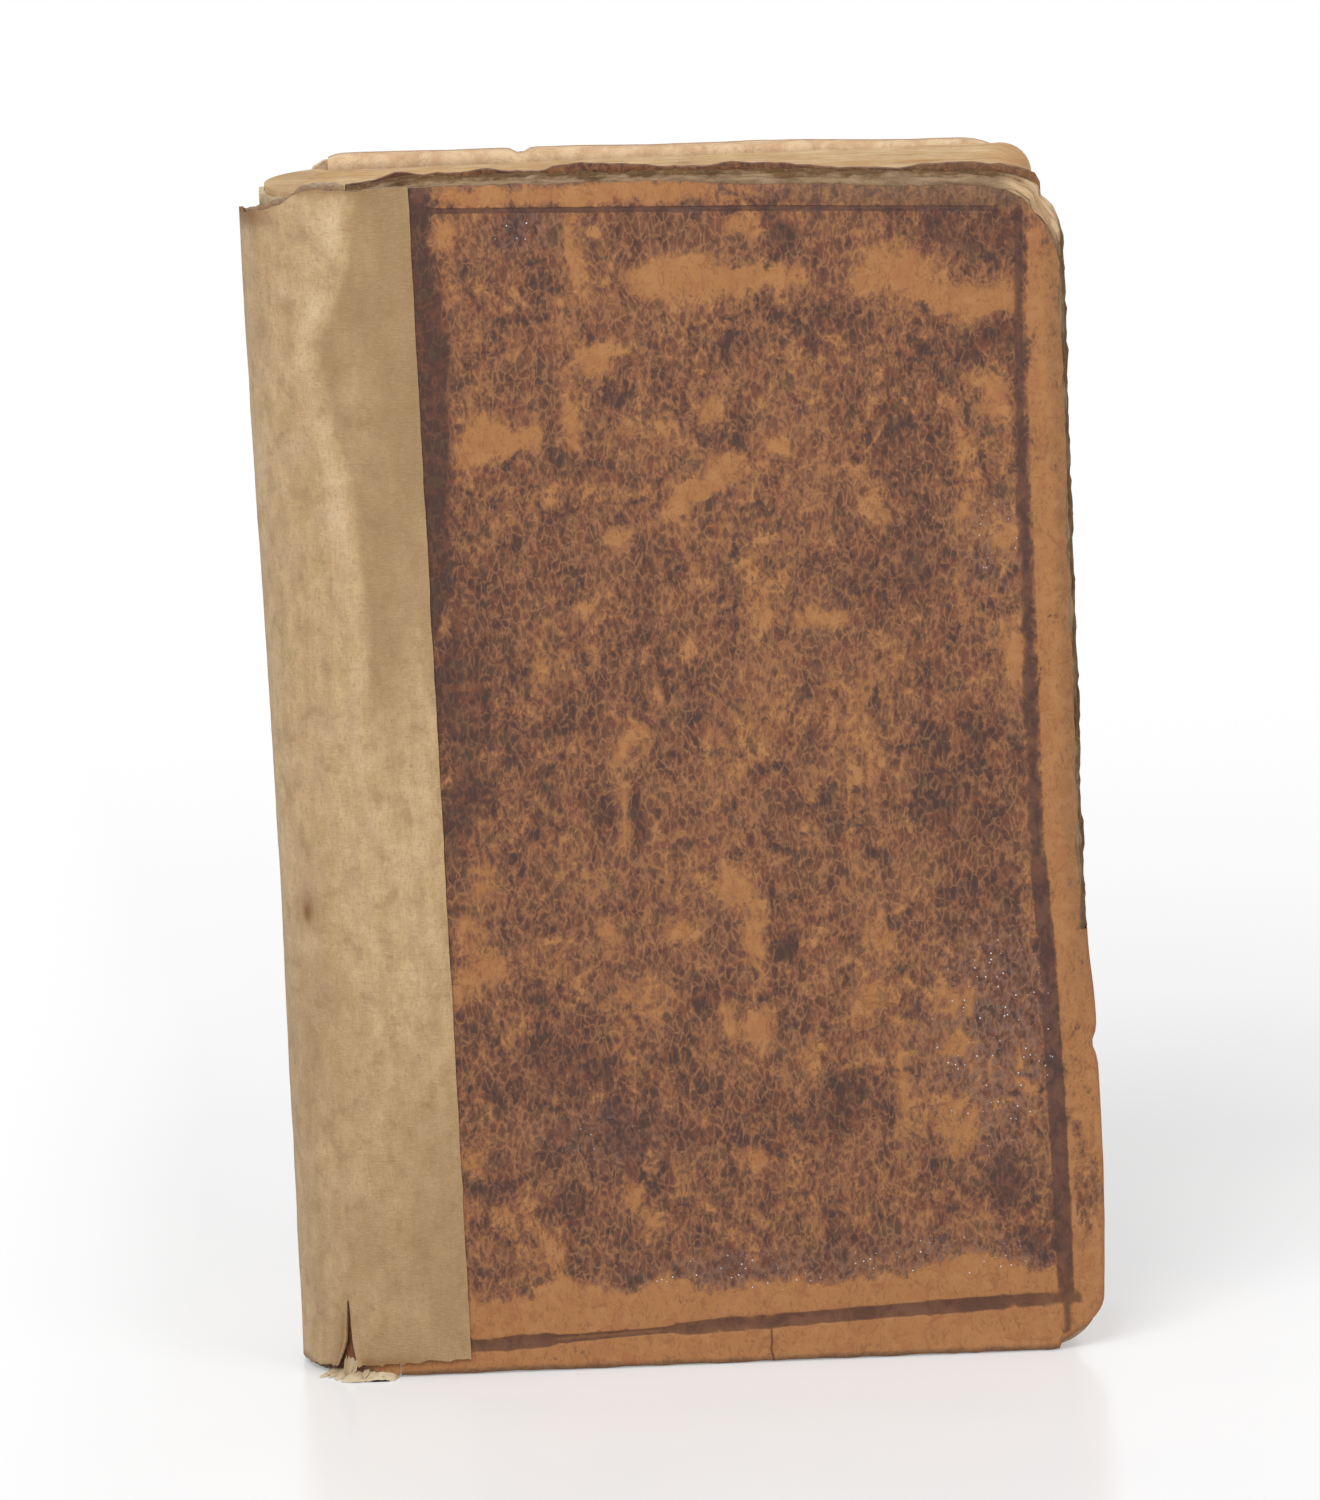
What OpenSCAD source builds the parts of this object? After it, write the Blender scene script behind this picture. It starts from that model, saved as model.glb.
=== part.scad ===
// A small old hardback book that stands on its tail edge: worn calf over pasteboard, a rounded
// sewn text block, and a strip of tan cloth pasted over the spine as an old repair.
// +Z is up, -Y is the front cover's side and -X is the spine's side.
// The origin is under the middle of the book, on the surface that it stands on.

/* [Boards] */
// Height of a cover at its spine edge
cover_h = 181; // [150:1:230]
// Width of a cover from its spine edge to its fore-edge
cover_w = 105; // [85:1:150]
// Thickness of the pasteboard
board_t = 2.8; // [1.6:0.1:4]
// Number of pasted layers that show at a bare edge
plies = 4; // [2:1:6]
// How far wear has lowered the front cover's head edge at the fore-edge
front_head_wear = 3.4; // [0:0.1:6]
// How far wear has lowered the back cover's head edge at the fore-edge
back_head_wear = 1.8; // [0:0.1:6]
// Radius of the front cover's rubbed corner at the head
front_corner_head_r = 11; // [4:0.5:16]
// Radius of the back cover's rubbed corner at the head
back_corner_head_r = 12; // [4:0.5:16]
// Radius of the rubbed corners at the tail
corner_tail_r = 8.5; // [4:0.5:14]
// How far a cover's fore-edge swells low down, where the board has spread
fore_swell = 1.1; // [0:0.1:2]
// Depth of the nick in the front cover's fore-edge
nick_depth = 0.9; // [0.4:0.1:1.6]
// Height of the nick above the tail
nick_z = 48; // [30:1:90]

/* [Leather] */
// Thickness of the leather on a cover's face and edges
leather_t = 0.7; // [0.4:0.1:1.2]
// Width of the leather turned in over the inner side of a board
turn_in_w = 12; // [8:0.5:18]
// Thickness of the leather where it is pared and turned in
turn_in_t = 0.5; // [0.3:0.1:0.8]
// Width of the band along the front cover's head where the leather is worn off
bare_head_w = 1.4; // [0.6:0.1:3]
// Width of the band along the front cover's fore-edge where the leather is worn off
bare_fore_w = 1.1; // [0.9:0.1:2]
// Radius of the leather's worn edge at the front cover's head corner
bare_corner_r = 13; // [8:0.5:18]
// How far the front board's outer layer is rubbed back along its bare head
head_rub = 0.9; // [0:0.1:2]
// Height above which the front cover's fore-edge is bare
bare_from_z = 64; // [40:1:120]
// Depth of the ragged edge that the leather has at a bare band
ragged = 0.3; // [0:0.05:0.6]

/* [Tooled lines] */
// Distance of the pressed lines from a cover's edges
tool_in = 5; // [3:0.5:10]
// Width of the lines along the fore-edge and the tail
tool_wide = 2.6; // [0.6:0.1:4]
// Width of the line along the head
tool_narrow = 0.9; // [0.4:0.1:3]
// Depth of the lines
tool_depth = 0.15; // [0.05:0.05:0.3]
// How far the lines run out of true from end to end
tool_skew = 2; // [0:0.5:3]

/* [Text block] */
// Thickness of the whole text block at the fore-edge
block_t = 18; // [10:0.5:30]
// Number of folded sections sewn together
sections = 16; // [8:1:24]
// Depth of the hollow in the fore-edge
hollow = 2.4; // [0:0.1:5]
// How unevenly the sections end, at the fore-edge and the head
unevenness = 0.3; // [0:0.05:0.6]
// Radius of the leaves' rubbed corners at the fore-edge
leaf_corner_r = 4.5; // [1:0.5:8]
// How far the covers stand out past the leaves at the tail
tail_square = 1.2; // [0.8:0.1:3]
// How far the covers stand out past the leaves at the head, beside the spine
head_square = 1.6; // [0.5:0.1:5]
// How far the front cover stands out past the first leaf at the fore-edge
fore_square = 3.4; // [0.5:0.1:6]
// How much further back the last leaf's fore-edge lies than the first one's
fore_lean = 0.4; // [0:0.1:4]

/* [Spine] */
// Thickness of the paper and glue lining on the backs of the sections
lining_t = 0.8; // [0.4:0.1:1.5]
// Thickness of the old leather on the spine
spine_leather_t = 1; // [0.5:0.1:1.6]
// How far the back cover has slipped towards the spine, as the book leans out of square
cock = 3; // [0:0.5:5]
// Length over which the sections bend into the rounded back
bend_l = 14; // [6:1:25]
// Height of the spine leather's lower edge above the surface that the covers stand on
spine_tail_z = 0.3; // [0.1:0.1:1]

/* [Cloth strip] */
// Thickness of the cloth strip
strip_t = 0.7; // [0.4:0.1:1]
// How far the strip reaches onto a cover at the head
strip_reach_head = 9.4; // [6:0.2:20]
// How far the strip reaches onto a cover at the tail
strip_reach_tail = 10.9; // [6:0.2:20]
// Height of the strip's lower edge above the tail
strip_tail_z = 2.6; // [1:0.1:6]
// Height of the strip's lower edge at the outermost line of the spine
strip_spine_z = 0.4; // [0.2:0.1:4]
// How far the strip's upper edge lies under the covers' head
strip_head_drop = 1.1; // [0.5:0.1:4]
// How far wear has lowered the strip's upper edge at the outermost line of the spine
strip_head_wear = 4.3; // [0:0.1:8]
// Distance of the front joint from the place where that wear starts, towards the spine
strip_wear_x = 6.5; // [3:0.5:10]
// How far the torn leather on the spine stands up past the strip
leather_rise = 0.6; // [0:0.1:2]
// Height of the split in the strip at the tail
split_h = 10; // [5:0.5:25]
// Width of the split at its open end
split_w = 2.6; // [1:0.1:4]
// Distance of the split from the front joint
split_x = 7.5; // [4:0.5:10]

/* [Sewing and endpapers] */
// Number of cords that the sections are sewn on
cords = 4; // [2:1:4]
// Diameter of a cord
cord_d = 1.6; // [1:0.1:1.8]
// Distance of the first and the last cord from the leaves' ends
cord_margin = 23; // [15:1:40]
// Thickness of the paper pasted inside a cover
paper_t = 0.25; // [0.15:0.05:0.4]
// Margin of turned-in leather that the paper leaves uncovered
paper_margin = 4; // [2:0.5:7]

/* [Clearances] */
// Gap between a closed cover and the leaves
cover_gap = 0.3; // [0.2:0.1:0.8]
// Gap between a cover's spine edge and the pieces that end at the joint
joint_gap = 0.5; // [0.4:0.1:1]
// Gap between layers that wrap round the spine
layer_gap = 0.05; // [0.05:0.05:0.2]

/* [Hidden] */
$fn = 96;

// Half of the book's thickness, over the leather
half_t = block_t / 2 + cover_gap + paper_t + turn_in_t + board_t + leather_t;
// Y of the board's outer and inner faces, in the front cover
board_out_y = -half_t + leather_t;
board_in_y = board_out_y + board_t;

// The spine's layers share one upright axis, and their radii run inwards from the strip
spine_x = -joint_gap;
strip_r = half_t + strip_t;
leather_r = half_t;
lining_r = leather_r - spine_leather_t - layer_gap;
block_r = lining_r - lining_t - layer_gap;

// Each cover turns about an upright line at its spine edge, just outside the strip's surface.
// Angles round the spine's axis: the layers end over the front joint and over the back one.
front_end_a = 270;
function back_end_a(r) = acos(-cock / r);

leaf_w = cover_w - fore_square;
leaf_h = cover_h - tail_square - head_square;
leaf_z0 = tail_square;
leaf_z1 = leaf_z0 + leaf_h;
lining_drop = 1;
bend_steps = 6;
fold_steps = 6;
corner_steps = 8;

// The sections' ends take their unevenness from three stretches of the same wave
fore_phase = 7;
tail_phase = 11;
head_phase = 5;

// The backs of the folded sections are arcs that share their ends
fan_step = (front_end_a - back_end_a(block_r)) / sections;
fold_r = block_r * tan(fan_step / 2) / (1 + tan(fan_step / 2));

// The sewing cords are spread evenly
cord_first_z = leaf_z0 + cord_margin;
cord_pitch = (leaf_h - 2 * cord_margin) / (cords - 1);
cord_gap = 0.1;
groove_d = cord_d + 2 * cord_gap;

// Where the book's box lies before it is centred on the origin
left_x = spine_x - strip_r;
right_x = cover_w + fore_swell;
swell_z = 30;
swell_spread = 25;
edge_steps = 26;
nick_r = 3;
big = 400;
lap = 1;

leather_brown = [0.45, 0.27, 0.17];
cloth_tan = [0.72, 0.61, 0.45];
paper_cream = [0.85, 0.76, 0.58];
board_grey = [0.62, 0.55, 0.44];
cord_hemp = [0.66, 0.58, 0.42];
lining_grey = [0.7, 0.64, 0.52];

function arc(c, r, a0, a1, n = 10) = [for (i = [0:n])
    let (a = a0 + (a1 - a0) * i / n) [c[0] + r * cos(a), c[1] + r * sin(a)]];

// A gentle wave that repeats nowhere along an edge: a slow sine and a quicker one, out of step
slow_rate = 41;
quick_rate = 103;
quick_start = 40;
quick_share = 0.45;
function wave(t) = (1 - quick_share) * sin(t * slow_rate)
    + quick_share * sin(t * quick_rate + quick_start);

function head_z(x, wear) = cover_h - wear * pow(x / cover_w, 2);
function swell(z) = fore_swell * exp(-pow((z - swell_z) / swell_spread, 2));

// A cover's outline in X and Z, from its spine edge round by the tail, fore-edge and head.
// fore, head and tail draw the three edges in, and rough makes them ragged.
function cover_outline(wear, head_r, fore = 0, head = 0, tail = 0, spine_edge = 0, rough = 0) =
    let (
        rh = max(head_r - fore, 1),
        rt = max(corner_tail_r - max(fore, tail), 1),
        x1 = cover_w - fore,
        top = head_z(x1 - rh, wear) - head,
        z0 = tail + rt,
        z1 = top - rh)
    concat(
        [[spine_edge, tail]],
        arc([x1 - rt + swell(z0), z0], rt, -90, 0),
        [for (i = [1:edge_steps - 1])
            let (z = z0 + (z1 - z0) * i / edge_steps)
            [x1 + swell(z) - rough * (1 + wave(z)), z]],
        arc([x1 - rh, z1], rh, 0, 90),
        [for (i = [1:edge_steps - 1])
            let (x = (x1 - rh) * (1 - i / edge_steps))
            [x, head_z(x, wear) - head - rough * (1 + wave(x))]],
        [[spine_edge, head_z(0, wear) - head]]);

// A flat piece with its outline in X and Z, from y0 to y1
module plate(y0, y1) {
    translate([0, y1, 0]) rotate([90, 0, 0]) linear_extrude(y1 - y0) children();
}

// Everything is drawn from the front cover's joint, and moved to the origin here
module centred() {
    translate([-(left_x + right_x) / 2, 0, 0]) children();
}

// The back cover is the front one turned over, and slipped towards the spine
module as_back() {
    translate([-cock, 0, 0]) mirror([0, 1, 0]) children();
}

module nick(y0, y1) {
    plate(y0, y1)
        translate([cover_w + swell(nick_z) + nick_r - nick_depth, nick_z]) circle(nick_r);
}

// Pasteboard in pasted layers: the outer ones are rubbed shorter along a bare head
module board(wear, head_r, head_inset, rub) {
    ply_t = board_t / plies;
    for (i = [0:plies - 1]) {
        rubbed = rub * pow(1 - i / plies, 2);
        plate(board_out_y + i * ply_t, board_out_y + (i + 1) * ply_t)
            polygon(cover_outline(wear, head_r + rubbed, leather_t, head_inset + rubbed, leather_t));
    }
}

// A line pressed into the outer face from one point to another
module tooled_line(start, end, w) {
    run = end - start;
    plate(-half_t - lap, -half_t + tool_depth)
        translate(start) rotate(atan2(run[1], run[0])) translate([0, -w / 2]) square([norm(run), w]);
}

// Three pressed lines frame the cover, along its head, its fore-edge and its tail
module tooling(wear) {
    fore_x = cover_w - tool_in;
    head_end_z = head_z(fore_x, wear) - tool_in;
    tooled_line([0, cover_h - tool_in], [fore_x - tool_skew, head_end_z], tool_narrow);
    tooled_line([0, tool_in], [fore_x, tool_in + tool_skew], tool_wide);
    tooled_line([fore_x - tool_skew, head_end_z], [fore_x, tool_in / 2], tool_wide);
}

// Leather on the outer face, round the edges and turned in over the inner face
module cover_leather(wear, head_r) {
    difference() {
        plate(-half_t, board_in_y + turn_in_t) polygon(cover_outline(wear, head_r));
        tooling(wear);
        plate(board_out_y, board_in_y)
            polygon(cover_outline(wear, head_r, leather_t, leather_t, leather_t, -lap));
        plate(board_in_y - lap / 2, board_in_y + turn_in_t + lap)
            polygon(cover_outline(wear, head_r, turn_in_w, turn_in_w, turn_in_w, -lap));
    }
}

// The bands along the front cover's head and fore-edge where the leather is gone
module bare_bands() {
    plate(-half_t - lap, board_in_y) difference() {
        translate([-lap, bare_from_z]) square([big, big]);
        polygon(cover_outline(front_head_wear, bare_corner_r + bare_fore_w, bare_fore_w,
            bare_head_w, 0, -2 * lap, ragged));
    }
}

// The paper pasted inside a cover: it steps down from the turned-in leather to the board
module pastedown(wear, head_r) {
    difference() {
        plate(board_in_y, board_in_y + turn_in_t + paper_t)
            polygon(cover_outline(wear, head_r, paper_margin, paper_margin, paper_margin, lap));
        plate(board_in_y - lap, board_in_y + turn_in_t) difference() {
            translate([-lap, -lap]) square([big, big]);
            polygon(cover_outline(wear, head_r, turn_in_w, turn_in_w, turn_in_w, -2 * lap));
        }
        plate(board_in_y + paper_t, board_in_y + turn_in_t + paper_t + lap)
            polygon(cover_outline(wear, head_r, turn_in_w + paper_t, turn_in_w + paper_t,
                turn_in_w + paper_t, -lap));
    }
}

// Keeps what lies between the strip's lower and upper edges. Both fall towards the outermost
// line of the spine. rise moves the upper edge up, and drop moves the lower edge down.
module strip_height(rise = 0, drop = 0) {
    top = cover_h - strip_head_drop + rise;
    low = strip_tail_z - drop;
    intersection() {
        children();
        plate(-big, big)
            polygon([[left_x, strip_spine_z - drop], [spine_x, low], [right_x, low], [right_x, top],
                [-strip_wear_x, top], [left_x, top - strip_head_wear]]);
    }
}

// The strip where it lies on a cover
module cover_strip() {
    plate(-strip_r, -half_t)
        polygon([[0, 0], [strip_reach_tail, 0], [strip_reach_head, cover_h], [0, cover_h]]);
}

// A profile swept round the spine from the back joint to the front one. r is its inner radius.
module round_spine(r, z) {
    translate([spine_x, 0, z]) rotate([0, 0, back_end_a(r)])
        rotate_extrude(angle = front_end_a - back_end_a(r)) children();
}

// A layer of the spine between two radii
module spine_shell(inner_r, outer_r, z0, z1) {
    round_spine(inner_r, z0) translate([inner_r, 0]) square([outer_r - inner_r, z1 - z0]);
}

// The split torn up the strip and the leather near the front joint
module split() {
    translate([spine_x, 0, 0]) rotate([0, 0, -acos((joint_gap - split_x) / strip_r)])
        rotate([90, 0, 90]) linear_extrude(strip_r + lap)
            polygon([[-split_w / 2, 0], [split_w / 2, 0], [split_w / 2, strip_tail_z],
                [0, strip_tail_z + split_h], [-split_w / 2, strip_tail_z]]);
}

// In plan, the line between two neighbouring sections runs along the leaves and then bends
// towards the rounded back, where it ends between two folds
function section_y(i) = block_t * (i / sections - 0.5);
function fold_end(i) =
    let (a = front_end_a - fan_step * i, r = (block_r - fold_r) / cos(fan_step / 2))
    [spine_x + r * cos(a), r * sin(a)];
function section_line(i) =
    let (
        y = section_y(i),
        corner = [spine_x - cock * i / sections, y],
        start = corner + [bend_l, 0],
        end = fold_end(i))
    concat([[leaf_w, y]], [for (k = [0:bend_steps]) let (u = k / bend_steps)
        (1 - u) * (1 - u) * start + 2 * u * (1 - u) * corner + u * u * end]);
function fold(i) =
    let (a = front_end_a - fan_step * (i + 0.5), r = block_r - fold_r)
    arc([spine_x + r * cos(a), r * sin(a)], fold_r, a + 90, a - 90, fold_steps);
function section_plan(i) = concat(section_line(i), [for (k = [1:fold_steps - 1]) fold(i)[k]],
    [for (k = [bend_steps + 1:-1:0]) section_line(i + 1)[k]]);

// A section's outline in X and Z: each ends a little short of the next, and together they
// make the hollow of the fore-edge
function short_by(i, phase) = unevenness * (1 + wave(i * phase)) / 2;
function section_outline(i) =
    let (
        share = (i + 0.5) / sections,
        x1 = leaf_w - fore_lean * share - hollow * (1 - pow(2 * share - 1, 2)) - short_by(i, fore_phase),
        z0 = leaf_z0 + short_by(i, tail_phase),
        z1 = leaf_z1 - short_by(i, head_phase),
        head_r = leaf_corner_r,
        tail_r = leaf_corner_r / 2)
    concat([[left_x, z0]], arc([x1 - tail_r, z0 + tail_r], tail_r, -90, 0, corner_steps),
        arc([x1 - head_r, z1 - head_r], head_r, 0, 90, corner_steps), [[left_x, z1]]);

module section(i) {
    intersection() {
        translate([0, 0, leaf_z0]) linear_extrude(leaf_h) polygon(section_plan(i));
        plate(-big, big) polygon(section_outline(i));
    }
}

// The room between the covers: flat against them, with a shoulder over each spine edge
module between_covers() {
    linear_extrude(big) union() {
        translate([-big, -block_t / 2]) square([2 * big, block_t]);
        translate([-big, -big]) square([big + spine_x, big]);
        translate([-big, 0]) square([big + spine_x - cock, big]);
    }
}

// The groove sawn across the backs of the sections for a cord
module saw_cut(z) {
    translate([spine_x, 0, z - groove_d / 2]) difference() {
        cylinder(r = block_r + lap, h = groove_d);
        translate([0, 0, -lap]) cylinder(r = block_r - groove_d, h = groove_d + 2 * lap);
        translate([0, -big / 2, -lap]) cube(big);
    }
}

module text_block() {
    color(paper_cream) difference() {
        intersection() {
            union() {
                for (i = [0:sections - 1]) section(i);
            }
            between_covers();
        }
        for (i = [0:cords - 1]) saw_cut(cord_first_z + i * cord_pitch);
    }
}

module sewing_cord(i) {
    r = block_r - cord_gap - cord_d / 2;
    color(cord_hemp) round_spine(block_r - groove_d, cord_first_z + i * cord_pitch)
        translate([r, 0]) circle(cord_d / 2);
}

module spine_lining() {
    color(lining_grey) spine_shell(block_r + layer_gap, lining_r, leaf_z0, leaf_z1 - lining_drop);
}

module spine_leather() {
    color(leather_brown) difference() {
        strip_height(rise = leather_rise, drop = strip_tail_z)
            spine_shell(lining_r + layer_gap, leather_r - layer_gap, spine_tail_z, cover_h);
        split();
    }
}

module spine_strip() {
    color(cloth_tan) difference() {
        strip_height() spine_shell(leather_r, strip_r, 0, cover_h);
        split();
    }
}

module front_board() {
    color(board_grey) difference() {
        board(front_head_wear, front_corner_head_r, 0, head_rub);
        nick(-half_t - lap, 0);
    }
}

module front_leather() {
    color(leather_brown) difference() {
        cover_leather(front_head_wear, front_corner_head_r);
        bare_bands();
        nick(-half_t - lap, 0);
    }
}

module front_strip() {
    color(cloth_tan) strip_height() cover_strip();
}

module front_pastedown() {
    color(paper_cream) pastedown(front_head_wear, front_corner_head_r);
}

module back_board() {
    color(board_grey) as_back() board(back_head_wear, back_corner_head_r, leather_t, 0);
}

module back_leather() {
    color(leather_brown) as_back() cover_leather(back_head_wear, back_corner_head_r);
}

module back_strip() {
    color(cloth_tan) strip_height() as_back() cover_strip();
}

module back_pastedown() {
    color(paper_cream) as_back() pastedown(back_head_wear, back_corner_head_r);
}

centred() text_block();
centred() sewing_cord(0);  // sewing_cord_1
centred() sewing_cord(1);  // sewing_cord_2
centred() sewing_cord(2);  // sewing_cord_3
centred() sewing_cord(3);  // sewing_cord_4
centred() spine_lining();
centred() spine_leather();
centred() spine_strip();
centred() front_board();
centred() front_leather();
centred() front_strip();
centred() front_pastedown();
centred() back_board();
centred() back_leather();
centred() back_strip();
centred() back_pastedown();
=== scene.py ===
# A small old hardback book that stands on its tail edge: worn calf over pasteboard, browned
# leaves, and a strip of tan cloth pasted over the spine as an old repair.
import math

import bmesh
import bpy
import numpy as np
from mathutils import Matrix, Vector
from mathutils.geometry import delaunay_2d_cdt


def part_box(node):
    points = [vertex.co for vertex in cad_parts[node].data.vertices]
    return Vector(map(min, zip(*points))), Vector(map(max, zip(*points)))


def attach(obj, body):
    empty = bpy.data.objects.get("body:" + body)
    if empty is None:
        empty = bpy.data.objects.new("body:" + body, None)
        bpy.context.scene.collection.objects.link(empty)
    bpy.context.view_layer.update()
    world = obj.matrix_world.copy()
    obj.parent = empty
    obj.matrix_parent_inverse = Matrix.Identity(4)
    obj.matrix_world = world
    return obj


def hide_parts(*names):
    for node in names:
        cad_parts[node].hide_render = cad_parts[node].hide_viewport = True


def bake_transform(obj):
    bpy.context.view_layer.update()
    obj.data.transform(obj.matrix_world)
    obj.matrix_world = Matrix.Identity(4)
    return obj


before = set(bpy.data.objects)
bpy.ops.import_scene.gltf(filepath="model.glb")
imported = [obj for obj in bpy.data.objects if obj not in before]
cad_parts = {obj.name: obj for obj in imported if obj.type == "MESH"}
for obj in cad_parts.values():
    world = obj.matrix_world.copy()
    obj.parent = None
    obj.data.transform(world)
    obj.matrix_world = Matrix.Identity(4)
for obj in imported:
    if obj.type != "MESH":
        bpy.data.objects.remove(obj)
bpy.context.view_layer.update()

# Lengths below are millimetres, with X measured from the front cover's spine edge.
MM = 1000.0
JOINT_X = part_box("front_board")[0].x * MM


def node_box(node):
    """Lowest and highest corners of a node, in millimetres from the front joint."""
    low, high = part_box(node)
    shift = np.array([JOINT_X, 0.0, 0.0])
    return np.array(low) * MM - shift, np.array(high) * MM - shift


def metres(points):
    """Millimetres from the front joint to the row frame's metres."""
    points = np.asarray(points, float).reshape(-1, 3)
    return (points + (JOINT_X, 0.0, 0.0)) / MM


# Sizes taken from the frame
leather_low, leather_high = node_box("front_leather")
board_low, board_high = node_box("front_board")
leaves_low, leaves_high = node_box("text_block")
lining_low, lining_high = node_box("spine_lining")
FACE_Y = leather_low[1]
TURN_IN_Y = leather_high[1]
BOARD_OUT_Y = board_low[1]
BOARD_IN_Y = board_high[1]
LEATHER_T = BOARD_OUT_Y - FACE_Y
STRIP_T = FACE_Y - node_box("front_strip")[0][1]
COVER_H = board_high[2]
COCK = -node_box("back_board")[0][0]
SPINE_TAIL_Z = node_box("spine_leather")[0][2]

# Sizes that no box gives
FORE_SWELL = 1.1
COVER_W = leather_high[0] - FORE_SWELL
SPINE_X = -0.5
LEAF_HALF = 9.0
TURN_IN_W = 12.0

# Noise and soft steps

NOISE_CELLS = 64


def smooth(t):
    t = np.clip(t, 0, 1)
    return t * t * (3 - 2 * t)


def fade(value, low, high):
    """0 where value is at low, 1 where it is at high, and smooth between."""
    return smooth((np.asarray(value, float) - low) / (high - low))


def hump(value, middle, half):
    """1 at the middle, and falling off to both sides."""
    return np.exp(-(((value - middle) / half) ** 2))


def soft_noise(x, z, size, seed):
    """Smooth noise from -1 to 1, with bumps about as wide as size."""
    table = np.random.default_rng(seed).uniform(-1, 1, (NOISE_CELLS, NOISE_CELLS))
    u = np.asarray(x, float) / size
    v = np.asarray(z, float) / size
    i = np.floor(u).astype(int)
    j = np.floor(v).astype(int)
    f = smooth(u - i)
    g = smooth(v - j)

    def at(a, b):
        return table[a % NOISE_CELLS, b % NOISE_CELLS]

    low = at(i, j) * (1 - f) + at(i + 1, j) * f
    high = at(i, j + 1) * (1 - f) + at(i + 1, j + 1) * f
    return low * (1 - g) + high * g


def rough_noise(x, z, size, seed, octaves=3):
    """Several layers of soft noise, each half as wide and half as strong as the last."""
    total = 0
    for k in range(octaves):
        total = total + soft_noise(x, z, size / 2**k, seed + k) / 2**k
    return total / (2 - 2 ** (1 - octaves))


def soft_line(t, size, seed):
    """Soft noise along a line."""
    return soft_noise(t, 0 * t, size, seed)


def rough_line(t, size, seed):
    """Rough noise along a line."""
    return rough_noise(t, 0 * t, size, seed)


# Meshes


def as_pairs(x, z):
    return np.stack(np.broadcast_arrays(x, z), 1)


def as_points(x, y, z):
    return np.stack(np.broadcast_arrays(x, y, z), -1).reshape(-1, 3)


def face_outwards(mesh):
    """Turns every face of a closed mesh to look outwards."""
    form = bmesh.new()
    form.from_mesh(mesh)
    bmesh.ops.recalc_face_normals(form, faces=form.faces)
    form.to_mesh(mesh)
    form.free()


def make_piece(name, points, faces, material, attributes=None, sharp=40):
    """A mesh object from millimetre points, with one material and its vertex attributes."""
    mesh = bpy.data.meshes.new(name)
    mesh.from_pydata(metres(points).tolist(), [], [list(map(int, f)) for f in faces])
    mesh.validate()
    face_outwards(mesh)
    for key, values in (attributes or {}).items():
        values = np.asarray(values, np.float32)
        kind, field = ("FLOAT", "value") if values.ndim == 1 else ("FLOAT_VECTOR", "vector")
        layer = mesh.attributes.new(key, kind, "POINT")
        layer.data.foreach_set(field, values.ravel())
    mesh.polygons.foreach_set("use_smooth", [True] * len(mesh.polygons))
    mesh.set_sharp_from_angle(angle=math.radians(sharp))
    mesh.materials.append(material)
    piece = bpy.data.objects.new(name, mesh)
    bpy.context.scene.collection.objects.link(piece)
    return piece


def flipped(faces):
    return [tuple(reversed(f)) for f in faces]


def rim_faces(faces, count):
    """Quads that join the open edges of a sheet to a copy of it whose points follow by count."""
    sides = ((int(a), int(b)) for face in faces for a, b in zip(face, np.roll(face, -1)))
    seen = dict.fromkeys(sides)
    return [(b, a, a + count, b + count) for a, b in seen if (b, a) not in seen]


def thick_sheet(outer, inner, faces, outer_only=(), inner_only=()):
    """A closed shell. faces serve both sides, and the others only one."""
    count = len(outer)
    front = list(faces) + list(outer_only)
    back = [tuple(int(i) + count for i in f) for f in flipped(list(faces) + list(inner_only))]
    return np.vstack([outer, inner]), front + back + rim_faces(front, count)


def grid_faces(rows, columns):
    """Quads of a grid whose points run row by row."""
    index = np.arange(rows * columns).reshape(rows, columns)
    quads = np.stack([index[:-1, :-1], index[:-1, 1:], index[1:, 1:], index[1:, :-1]], axis=-1)
    return [tuple(q) for q in quads.reshape(-1, 4)]


def inside(points, polygon):
    """Which points lie inside a polygon."""
    x, z = points.T
    odd = np.zeros(len(points), bool)
    for (x0, z0), (x1, z1) in zip(polygon, np.roll(polygon, -1, axis=0)):
        crosses = (z0 > z) != (z1 > z)
        where = x0 + (z - z0) * (x1 - x0) / (z1 - z0 + 1e-12)
        odd ^= crosses & (x < where)
    return odd


def nearest(points, others):
    """Distance from each point to the nearest of the others."""
    result = np.full(len(points), np.inf)
    for start in range(0, len(others), 64):
        gap = points[:, None, :] - others[start : start + 64][None, :, :]
        result = np.minimum(result, np.sqrt((gap**2).sum(-1)).min(1))
    return result


def fill(border, extra):
    """Triangles that fill a closed border, through the extra points inside it."""
    count = len(border)
    points = [Vector(p) for p in (*border, *extra)]
    edges = [(i, (i + 1) % count) for i in range(count)]
    result = delaunay_2d_cdt(points, edges, [], 1, 1e-6)
    back = [ids[0] for ids in result[3]]
    return [tuple(back[i] for i in face) for face in result[2]]


def join(parts):
    """Several sets of points and faces as one."""
    all_points, all_faces, first = [], [], 0
    for points, faces in parts:
        points = points.reshape(-1, 3)
        all_points.append(points)
        all_faces += [tuple(int(i) + first for i in f) for f in faces]
        first += len(points)
    return np.vstack(all_points), all_faces


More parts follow.
